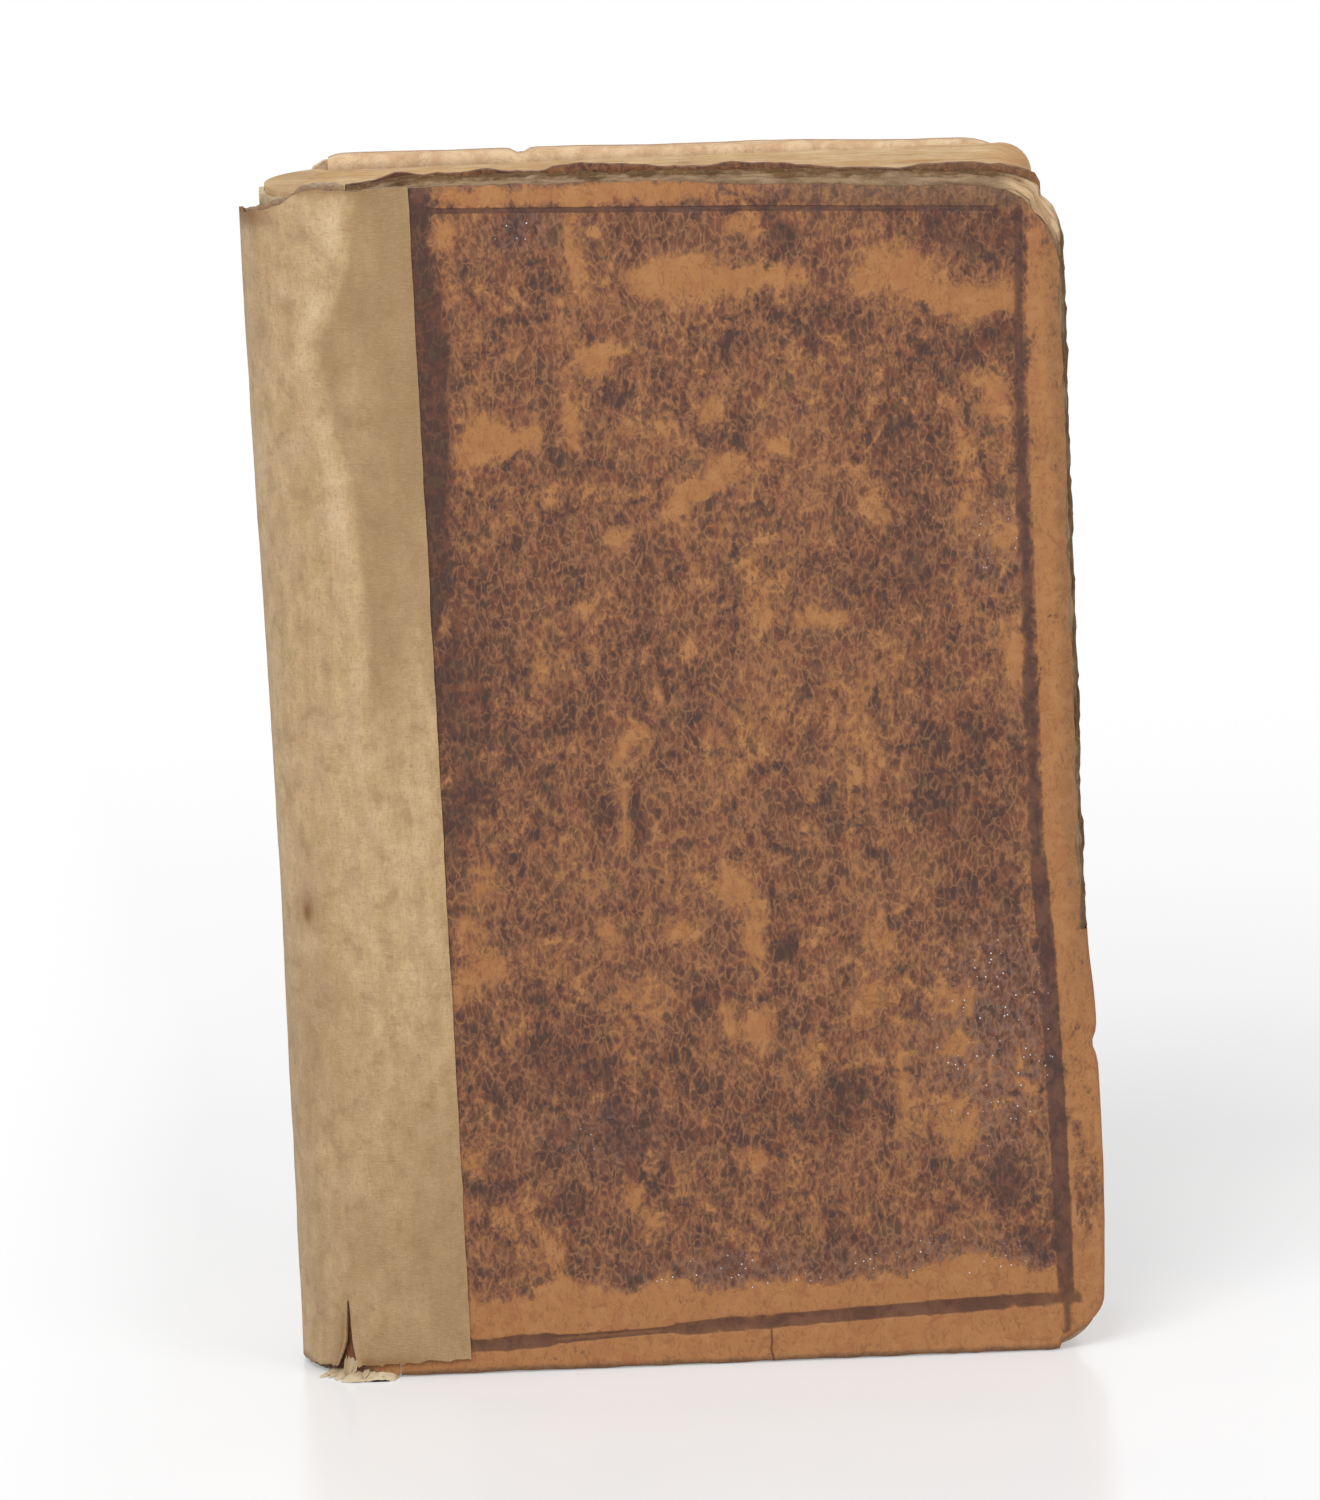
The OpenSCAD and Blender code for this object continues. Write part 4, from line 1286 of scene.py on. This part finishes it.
class Finish:
    """A short way to write one material's nodes."""

    def __init__(self, name):
        self.material = bpy.data.materials.new(name)
        self.material.use_nodes = True
        self.tree = self.material.node_tree
        self.tree.nodes.clear()
        self.shader = self.add("ShaderNodeBsdfPrincipled")
        self.output = self.add("ShaderNodeOutputMaterial", {0: self.shader.outputs[0]})
        self.colour = None

    def add(self, kind, inputs=None, **settings):
        node = self.tree.nodes.new(kind)
        for key, value in settings.items():
            setattr(node, key, value)
        for key, value in (inputs or {}).items():
            self.put(node.inputs[key], value)
        return node

    def put(self, socket, value):
        if isinstance(value, bpy.types.NodeSocket):
            self.tree.links.new(value, socket)
        else:
            socket.default_value = value

    def place(self, stretch=(1, 1, 1), attribute=None, start=0.0):
        """The point on the piece, in millimetres, stretched along the axes and moved by start."""
        if attribute:
            source = self.add("ShaderNodeAttribute", attribute_name=attribute).outputs["Vector"]
        else:
            source = self.add("ShaderNodeTexCoord").outputs["Object"]
        inputs = {"Vector": source, "Scale": [MM / s for s in stretch], "Location": (start, start, start)}
        return self.add("ShaderNodeMapping", inputs).outputs[0]

    def split(self, place):
        return self.add("ShaderNodeSeparateXYZ", {0: place}).outputs

    def value(self, attribute):
        return self.add("ShaderNodeAttribute", attribute_name=attribute).outputs["Fac"]

    def noise(self, place, size, detail=3.0, rough=0.55, warp=0.0):
        inputs = {"Vector": place, "Scale": 1 / size, "Detail": detail}
        inputs.update({"Roughness": rough, "Distortion": warp})
        return self.add("ShaderNodeTexNoise", inputs).outputs[0]

    def cells(self, place, size, feature="F1"):
        node = self.add("ShaderNodeTexVoronoi", {"Vector": place, "Scale": 1 / size}, feature=feature)
        return node.outputs["Distance"]

    def chain(self, operation, first, *others):
        for other in others:
            first = self.add("ShaderNodeMath", {0: first, 1: other}, operation=operation).outputs[0]
        return first

    def times(self, *values):
        return self.chain("MULTIPLY", *values)

    def plus(self, *values):
        return self.chain("ADD", *values)

    def minus(self, *values):
        return self.chain("SUBTRACT", *values)

    def mapped(self, kind, value, low, high, start, end):
        inputs = {"Value": value, "From Min": low, "From Max": high, "To Min": start, "To Max": end}
        return self.add("ShaderNodeMapRange", inputs, interpolation_type=kind).outputs[0]

    def fade(self, value, low, high, start=0.0, end=1.0):
        return self.mapped("SMOOTHSTEP", value, low, high, start, end)

    def line(self, value, low, high, start=0.0, end=1.0):
        """As fade, but straight."""
        return self.mapped("LINEAR", value, low, high, start, end)

    def ramp(self, value, low, high, colours):
        """Colours spread evenly from low to high."""
        node = self.add("ShaderNodeValToRGB", {0: self.line(value, low, high)})
        steps = node.color_ramp.elements
        while len(steps) < len(colours):
            steps.new(0.5)
        for k, colour in enumerate(colours):
            steps[k].position = k / (len(colours) - 1)
            steps[k].color = srgb(*colour)
        return node.outputs[0]

    def mix(self, share, a, b):
        node = self.add("ShaderNodeMix", data_type="RGBA")
        for socket, value in ((0, share), (6, a), (7, b)):
            self.put(node.inputs[socket], srgb(*value) if isinstance(value, tuple) else value)
        return node.outputs[2]

    def paint(self, colour, *shares):
        """Lays a colour over what is painted so far, by the product of the shares."""
        self.colour = self.mix(self.times(*shares), self.colour, colour)

    def shift(self, place, amount, size):
        """The place, moved about by noise, so that a pattern loses its regular look."""
        inputs = {"Vector": place, "Scale": 1 / size, "Detail": 2.0}
        wobble = self.add("ShaderNodeTexNoise", inputs).outputs[1]
        centred = self.vector("SUBTRACT", {0: wobble, 1: (0.5, 0.5, 0.5)})
        moved = self.vector("SCALE", {0: centred, "Scale": amount})
        return self.vector("ADD", {0: place, 1: moved})

    def vector(self, operation, inputs):
        return self.add("ShaderNodeVectorMath", inputs, operation=operation).outputs[0]

    def finish(self, rough, height, depth, specular):
        """Connects the shader, with a bump of this depth, and returns the material."""
        bump = self.add("ShaderNodeBump", {"Height": height, "Distance": depth / MM, "Strength": 1.0})
        sockets = {"Base Color": self.colour, "Roughness": rough, "Normal": bump.outputs[0]}
        sockets["Specular IOR Level"] = specular
        for key, value in sockets.items():
            self.put(self.shader.inputs[key], value)
        return self.material


CALF_TONES = [(66, 43, 35), (75, 48, 38), (86, 55, 41), (98, 63, 45), (109, 71, 50),
              (121, 80, 54), (138, 93, 59), (151, 104, 64), (155, 107, 66)]


def tail_crack(f, place):
    """The crack in the front cover's leather, from the tail line down to the edge."""
    across, depth, height = f.split(f.shift(place, 0.8, 2.0))
    off = f.chain("ABSOLUTE", f.minus(across, JOINT_X + CRACK_X), 0.0)
    share = f.times(f.fade(off, 0.24, 0.08, 0.0, 0.85), f.fade(height, CRACK_TOP + 0.6, CRACK_TOP - 0.4))
    return f.times(share, f.fade(depth, FACE_Y + 6, FACE_Y + 5))


def calf_material():
    """Dark glossy calf, crackled and rubbed through to matt tan, with painted sheen and highlights where it
    is still glossy.
    """
    f = Finish("calf")
    place = f.place()
    wear = f.value("wear")
    gloss = f.value("gloss")
    upright = f.shift(f.shift(f.place((1, 1, 2.0)), 1.8, 2.2), 0.5, 0.6)
    strokes = f.noise(upright, 0.62, 2.0, 0.6, 1.2)
    grain = f.noise(f.place((1, 1, 1.3), start=30.0), 1.1, 4.0, 0.65, 0.6)
    clouds = f.noise(f.place((1, 1, 1.35)), 3.4, 4.0, 0.6, 0.9)
    hues = f.noise(f.place(start=70.0), 2.8, 4.0, 0.6, 0.5)
    broad = f.noise(place, 9.0, 3.0, 0.6)
    to_edge = f.cells(upright, 1.1, "DISTANCE_TO_EDGE")

    mottle = f.plus(
        f.line(strokes, 0.0, 1.0, -1.4, 1.4),
        f.fade(to_edge, 0.30, 0.0, -0.28, 0.24),
        f.line(grain, 0.0, 1.0, -1.4, 1.4),
        f.line(clouds, 0.0, 1.0, -2.4, 2.4),
    )
    lively = f.times(
        f.line(broad, 0.35, 0.65, 1.2, 0.7),
        f.line(wear, -1.3, -0.6, 0.5, 1.0),
        f.line(wear, 0.4, 1.3, 1.0, 0.62),
    )
    level = f.plus(wear, f.times(mottle, lively))
    tan = f.fade(level, 0.45, 0.88)
    dark = f.minus(1.0, tan)
    f.colour = f.ramp(level, -1.4, 1.1, CALF_TONES)

    # On the dark surface: reddish, olive and inky clouds, and the pale net of the crackle
    f.paint((112, 62, 42), f.fade(hues, 0.50, 0.62, 0.0, 0.35), dark)
    f.paint((78, 60, 42), f.fade(hues, 0.46, 0.34, 0.0, 0.45), dark)
    f.paint((60, 43, 40), f.fade(clouds, 0.42, 0.32, 0.0, 0.6), dark)
    net = f.times(f.fade(to_edge, 0.13, 0.0), f.fade(grain, 0.36, 0.52))
    seen = f.times(f.fade(broad, 0.40, 0.6, 0.2, 0.6), f.fade(wear, -1.2, -0.4, 0.3, 1.0), dark)
    f.paint((146, 102, 68), net, seen)

    # On the bare tan: dark specks, pale rubbed clouds, crazed lines and a rosy tint
    f.paint((120, 78, 50), f.fade(strokes, 0.52, 0.66, 0.0, 0.55), tan)
    f.paint((164, 117, 76), f.fade(clouds, 0.5, 0.64, 0.0, 0.5), tan)
    crazed = f.fade(f.cells(f.shift(place, 3.0, 4.0), 7.0, "DISTANCE_TO_EDGE"), 0.022, 0.008)
    f.paint((112, 72, 42), crazed, f.fade(hues, 0.48, 0.58, 0.0, 0.45), tan)
    f.paint((146, 94, 60), f.fade(hues, 0.5, 0.62, 0.0, 0.5), tan)
    glossy_dark = f.times(gloss, dark)
    # Painted sheen: a grey-purple tint on the glossy dark surface, standing in for reflected light.
    f.paint((116, 92, 86), f.fade(grain, 0.42, 0.6, 0.0, 0.45), glossy_dark)

    # The pressed lines, darker along their rims
    pressed_in = f.value("pressed")
    line = f.mix(f.fade(clouds, 0.4, 0.6), (67, 43, 38), (92, 60, 48))
    f.paint(line, f.fade(pressed_in, 0.15, 0.85, 0.0, 0.85))
    f.paint((58, 36, 32), f.fade(pressed_in, 0.1, 0.45), f.fade(pressed_in, 0.95, 0.5), 0.4)

    # The torn and turned-in side, soil with a painted shadow along the front cover's foot, and scuffed
    # edges
    torn = f.mix(f.fade(f.noise(place, 2.0, 5.0, 0.65), 0.35, 0.65), (74, 50, 34), (118, 70, 42))
    f.paint(torn, f.fade(f.value("turned"), 0.3, 0.9))
    soil_and_shade_tone = f.mix(f.fade(grain, 0.38, 0.62), (86, 64, 47), (122, 91, 63))
    f.paint(soil_and_shade_tone, f.value("soil"), 0.8)
    pale = f.mix(f.fade(clouds, 0.38, 0.62), (200, 166, 130), (218, 190, 154))
    f.paint(pale, f.value("scuff"), f.fade(grain, 0.2, 0.5, 0.6, 1.0))

    # Painted highlights (glints) on what is left of the gloss, and the crack at the tail
    beads = f.fade(f.cells(f.place(start=15.0), 1.1), 0.14, 0.09)
    glint = f.times(beads, f.fade(gloss, 0.3, 0.7), f.fade(hues, 0.42, 0.46))
    f.paint((216, 214, 220), glint, 0.9)
    f.paint((84, 50, 30), tail_crack(f, place))

    rough = f.minus(f.fade(tan, 0, 1, 0.46, 0.80), f.times(glossy_dark, 0.16))
    grains = f.times(f.cells(f.shift(place, 0.5, 1.0), 0.45), 0.5)
    height = f.plus(f.minus(grains, f.times(tan, 0.7)), strokes, f.times(glint, 1.5))
    return f.finish(rough, height, 0.08, 0.3)


def cloth_material():
    """Tan linen, soiled and slightly streaked along its length, with painted shade and light beside its
    crease.
    """
    f = Finish("cloth")

    def woven(across, up, detail=3.0, start=0.0):
        return f.noise(f.place((across, up, 1.0), attribute="rest", start=start), 1.0, detail, 0.6)

    place = f.place(attribute="rest")
    warp = woven(0.26, 1.1)
    weft = woven(1.1, 0.26)
    clouds = woven(4.5, 8.0, 4.0, 20.0)
    blots = woven(3.0, 4.0, 4.0, 50.0)
    shade = f.value("shade")
    f.colour = f.mix(f.fade(woven(1.5, 7.0), 0.35, 0.65), (172, 144, 106), (186, 157, 118))
    f.paint((178, 150, 118), f.fade(clouds, 0.50, 0.64, 0.0, 0.7))
    f.paint((170, 146, 100), f.fade(clouds, 0.46, 0.34, 0.0, 0.6))
    f.paint((196, 168, 130), f.fade(blots, 0.52, 0.66, 0.0, 0.55))
    f.paint((154, 126, 92), f.fade(blots, 0.48, 0.34, 0.0, 0.65))
    # Painted shade in the hollow beside the crease; the cloth is also darker towards the bottom and varies
    # at random.
    f.paint((144, 115, 82), f.fade(shade, 0.0, 1.0, 0.0, 0.8))
    # Painted light on the ridge beside the crease.
    f.paint((206, 182, 146), f.fade(shade, 0.0, -1.0, 0.0, 0.85))
    f.paint((144, 116, 80), f.fade(warp, 0.48, 0.7, 0, 0.35))
    f.paint((198, 171, 132), f.fade(weft, 0.48, 0.7, 0, 0.16))
    f.paint((140, 112, 76), f.fade(f.noise(place, 0.5, 2.0, 0.6), 0.55, 0.7, 0.0, 0.35))
    # Brown spots, darker ends, and painted shade beside the split.
    f.paint((122, 84, 46), f.value("stain"))
    height = f.plus(warp, f.times(weft, 0.8), f.times(f.noise(place, 2.2, 3.0, 0.6), 2.0))
    f.shader.inputs["Sheen Weight"].default_value = 0.1
    return f.finish(0.9, height, 0.16, 0.2)


def paper(name, pale, brown):
    """Old laid paper, unevenly browned."""
    f = Finish(name)
    f.colour = f.mix(f.fade(f.noise(f.place(), 9.0, 4.0, 0.6), 0.35, 0.7), pale, brown)
    return f


def finish_paper(f):
    """Adds the spots and the grain that all paper here has."""
    place = f.place()
    f.paint((170, 120, 72), f.fade(f.noise(place, 2.2, 3.0, 0.6), 0.66, 0.78, 0, 0.5))
    return f.finish(0.88, f.noise(place, 0.5, 4.0, 0.6), 0.04, 0.25)


def leaves_material():
    """Paper whose edges show as thin lines, with a thumbed upper corner."""
    f = paper("paper", (196, 171, 135), (176, 143, 106))
    across, depth, height = f.split(f.place())
    between = f.fade(f.chain("ABSOLUTE", depth, 0.0), LEAF_HALF - 0.05, LEAF_HALF - 0.5)
    fine = f.noise(f.place((14.0, 0.16, 14.0)), 1.0, 3.0, 0.65)
    wide = f.noise(f.place((22.0, 1.2, 22.0)), 1.0, 2.0)
    f.paint((150, 112, 68), f.fade(fine, 0.45, 0.75, 0, 0.75), between)
    f.paint((196, 160, 108), f.fade(wide, 0.5, 0.7, 0, 0.5), between)
    f.paint((170, 124, 82), f.fade(across, JOINT_X + 92, JOINT_X + 99), f.fade(height, 168, 177), 0.6)
    return finish_paper(f)


def endpaper_material():
    """Paper that the leather under and round it has stained brown along its edges."""
    f = paper("endpaper", (204, 181, 143), (190, 162, 122))
    low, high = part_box("front_pastedown")
    place = f.place()
    across, _, height = f.split(place)
    edges = [f.minus(high.x * MM, across), f.minus(height, low.z * MM), f.minus(high.z * MM, height)]
    edge = f.plus(f.chain("MINIMUM", *edges), f.line(f.noise(place, 7.0, 4.0, 0.6), 0.0, 1.0, -9.0, 9.0))
    stain = f.mix(f.fade(edge, 2.0, 7.0), (150, 104, 64), (176, 134, 90))
    f.paint(stain, f.fade(edge, 14.0, 3.0, 0.0, 0.7))
    return finish_paper(f)


def pasteboard_material():
    """Grey-tan pasteboard whose layers show, pale on the outer plies and darker towards the inner ones."""
    f = Finish("pasteboard")
    place = f.place()
    corner = f.value("corner")
    layers = f.noise(f.place((6.0, 0.35, 6.0)), 1.0, 4.0, 0.6)
    streaks = f.fade(layers, 0.35, 0.65)
    f.colour = f.mix(streaks, (118, 96, 74), (152, 127, 100))
    f.paint(f.mix(streaks, (158, 130, 98), (192, 165, 130)), f.fade(corner, 0.15, 0.5))
    inward_share = f.plus(f.value("ply"), f.fade(f.noise(place, 4.0, 3.0), 0.3, 0.7, -0.25, 0.25))
    inward_share = f.minus(inward_share, f.times(corner, 0.6))
    f.paint(f.mix(streaks, (84, 62, 42), (112, 84, 56)), f.fade(inward_share, 0.15, 0.6))
    f.paint((170, 144, 112), f.fade(f.noise(place, 0.7, 3.0, 0.6), 0.5, 0.75, 0, 0.3))
    return f.finish(0.92, f.plus(layers, f.noise(place, 0.3, 3.0, 0.6)), 0.12, 0.2)


def cord_material():
    """Twisted hemp."""
    f = Finish("hemp")
    strands = f.noise(f.place((0.5, 0.5, 0.3)), 1.0, 2.0)
    f.colour = f.mix(f.fade(strands, 0.35, 0.65), (150, 126, 88), (196, 172, 128))
    return f.finish(0.9, strands, 0.15, 0.5)


# Stage, in metres

CAMERA_TARGET = Vector((0.000325, 0.0, 0.090))
CAMERA_DISTANCE = 1.5
CAMERA_HEIGHT_DEG = 13.0
CAMERA_ROLL_DEG = 2.352
CAMERA_LENS = 242.3
CAMERA_SHIFT = (-0.0164, 0.0056)
LAMP_TARGET = Vector((0, 0, 0.08))
AMBIENT = 0.55
FLOOR_HALF = 6.0
FLOOR_NEAR = 0.10
FLOOR_FAR = 0.45
FLOOR_WHITE = 0.3


def add_to_scene(name, data):
    item = bpy.data.objects.new(name, data)
    bpy.context.scene.collection.objects.link(item)
    return item


def make_camera():
    """A long lens, slightly above the book and slightly rolled, as the photograph was taken."""
    data = bpy.data.cameras.new("camera")
    data.lens = CAMERA_LENS
    data.sensor_width = 36
    data.shift_x, data.shift_y = CAMERA_SHIFT
    data.clip_end = 20
    camera = add_to_scene("camera", data)
    height = math.radians(CAMERA_HEIGHT_DEG)
    roll = math.radians(CAMERA_ROLL_DEG)
    forward = Vector((0, math.cos(height), -math.sin(height)))
    up = Vector((0, math.sin(height), math.cos(height)))
    right = Vector((1, 0, 0))
    tilted_right = math.cos(roll) * right - math.sin(roll) * up
    tilted_up = math.sin(roll) * right + math.cos(roll) * up
    turn = Matrix((tilted_right, tilted_up, -forward)).transposed()
    camera.matrix_world = Matrix.Translation(CAMERA_TARGET - forward * CAMERA_DISTANCE) @ turn.to_4x4()
    bpy.context.scene.camera = camera


def make_lamp(name, place, size, watts):
    data = bpy.data.lights.new(name, "AREA")
    data.shape = "SQUARE"
    data.size = size
    data.energy = watts
    lamp = add_to_scene(name, data)
    lamp.location = place
    direction = LAMP_TARGET - Vector(place)
    lamp.rotation_euler = direction.to_track_quat("-Z", "Y").to_euler()


def white_for_camera(tree, plain, white):
    """Mixes a plain shader with a white one that camera, glossy and transmission rays see."""
    path = tree.nodes.new("ShaderNodeLightPath")
    seen = path.outputs["Is Camera Ray"]
    for extra in ("Is Glossy Ray", "Is Transmission Ray"):
        node = tree.nodes.new("ShaderNodeMath")
        node.operation = "MAXIMUM"
        tree.links.new(seen, node.inputs[0])
        tree.links.new(path.outputs[extra], node.inputs[1])
        seen = node.outputs[0]
    mix = tree.nodes.new("ShaderNodeMixShader")
    for socket, source in enumerate((seen, plain, white)):
        tree.links.new(source, mix.inputs[socket])
    return mix.outputs[0]


def make_world():
    world = bpy.data.worlds.new("world")
    bpy.context.scene.world = world
    world.use_nodes = True
    tree = world.node_tree
    tree.nodes.clear()

    def background(colour, strength):
        node = tree.nodes.new("ShaderNodeBackground")
        node.inputs[0].default_value = colour
        node.inputs[1].default_value = strength
        return node.outputs[0]

    plain = background((1.0, 0.99, 0.97, 1), AMBIENT)
    white = background((1, 1, 1, 1), 1.0)
    output = tree.nodes.new("ShaderNodeOutputWorld")
    tree.links.new(white_for_camera(tree, plain, white), output.inputs[0])


def floor_material():
    """A pale glossy table top that fades to white behind the book."""
    f = Finish("floor")
    clouds = f.fade(f.noise(f.place(), 90.0, 2.0), 0.3, 0.7)
    f.put(f.shader.inputs["Base Color"], f.mix(clouds, (238, 238, 240), (243, 243, 244)))
    f.put(f.shader.inputs["Roughness"], 0.22)
    white = f.add("ShaderNodeEmission", {"Strength": 1.0})
    across, depth, _ = f.split(f.add("ShaderNodeTexCoord").outputs["Object"])
    share = f.fade(depth, FLOOR_NEAR, FLOOR_FAR, FLOOR_WHITE, 1.0)
    share = f.chain("MAXIMUM", share, f.fade(across, -0.055, -0.12, 0.0, 1.0))
    mixed = f.add("ShaderNodeMixShader", {0: share, 1: f.shader.outputs[0], 2: white.outputs[0]}).outputs[0]
    f.put(f.output.inputs[0], white_for_camera(f.tree, f.shader.outputs[0], mixed))
    return f.material


def make_stage():
    mesh = bpy.data.meshes.new("floor")
    corners = [(x * FLOOR_HALF, y * FLOOR_HALF, 0) for x, y in ((-1, -1), (1, -1), (1, 1), (-1, 1))]
    mesh.from_pydata(corners, [], [(0, 1, 2, 3)])
    mesh.materials.append(floor_material())
    floor = add_to_scene("floor", mesh)
    make_lamp("key", (-0.6, -1.3, 1.5), 1.1, 26)
    make_lamp("fill", (1.3, -1.0, 0.9), 0.8, 9)
    make_world()
    bpy.context.scene.view_settings.view_transform = "Standard"


def dress_nodes():
    """Materials for the nodes that keep their own shape."""
    looks = dict.fromkeys(("front_pastedown", "back_pastedown"), endpaper_material())
    looks.update(dict.fromkeys(("sewing_cord_%d" % k for k in range(1, 5)), cord_material()))
    for name, material in looks.items():
        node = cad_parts[name]
        node.data.materials.clear()
        node.data.materials.append(material)


make_camera()
make_stage()
dress_nodes()
calf = calf_material()
pasteboard = pasteboard_material()
make_leather(FRONT, 0.8, calf)
make_leather(BACK, 1.1, calf)
make_board(FRONT, pasteboard)
make_board(BACK, pasteboard)
make_leaves(leaves_material())
make_spine_leather(calf)
make_lining(finish_paper(paper("waste_paper", (206, 190, 160), (158, 134, 100))))
make_strip(cloth_material())
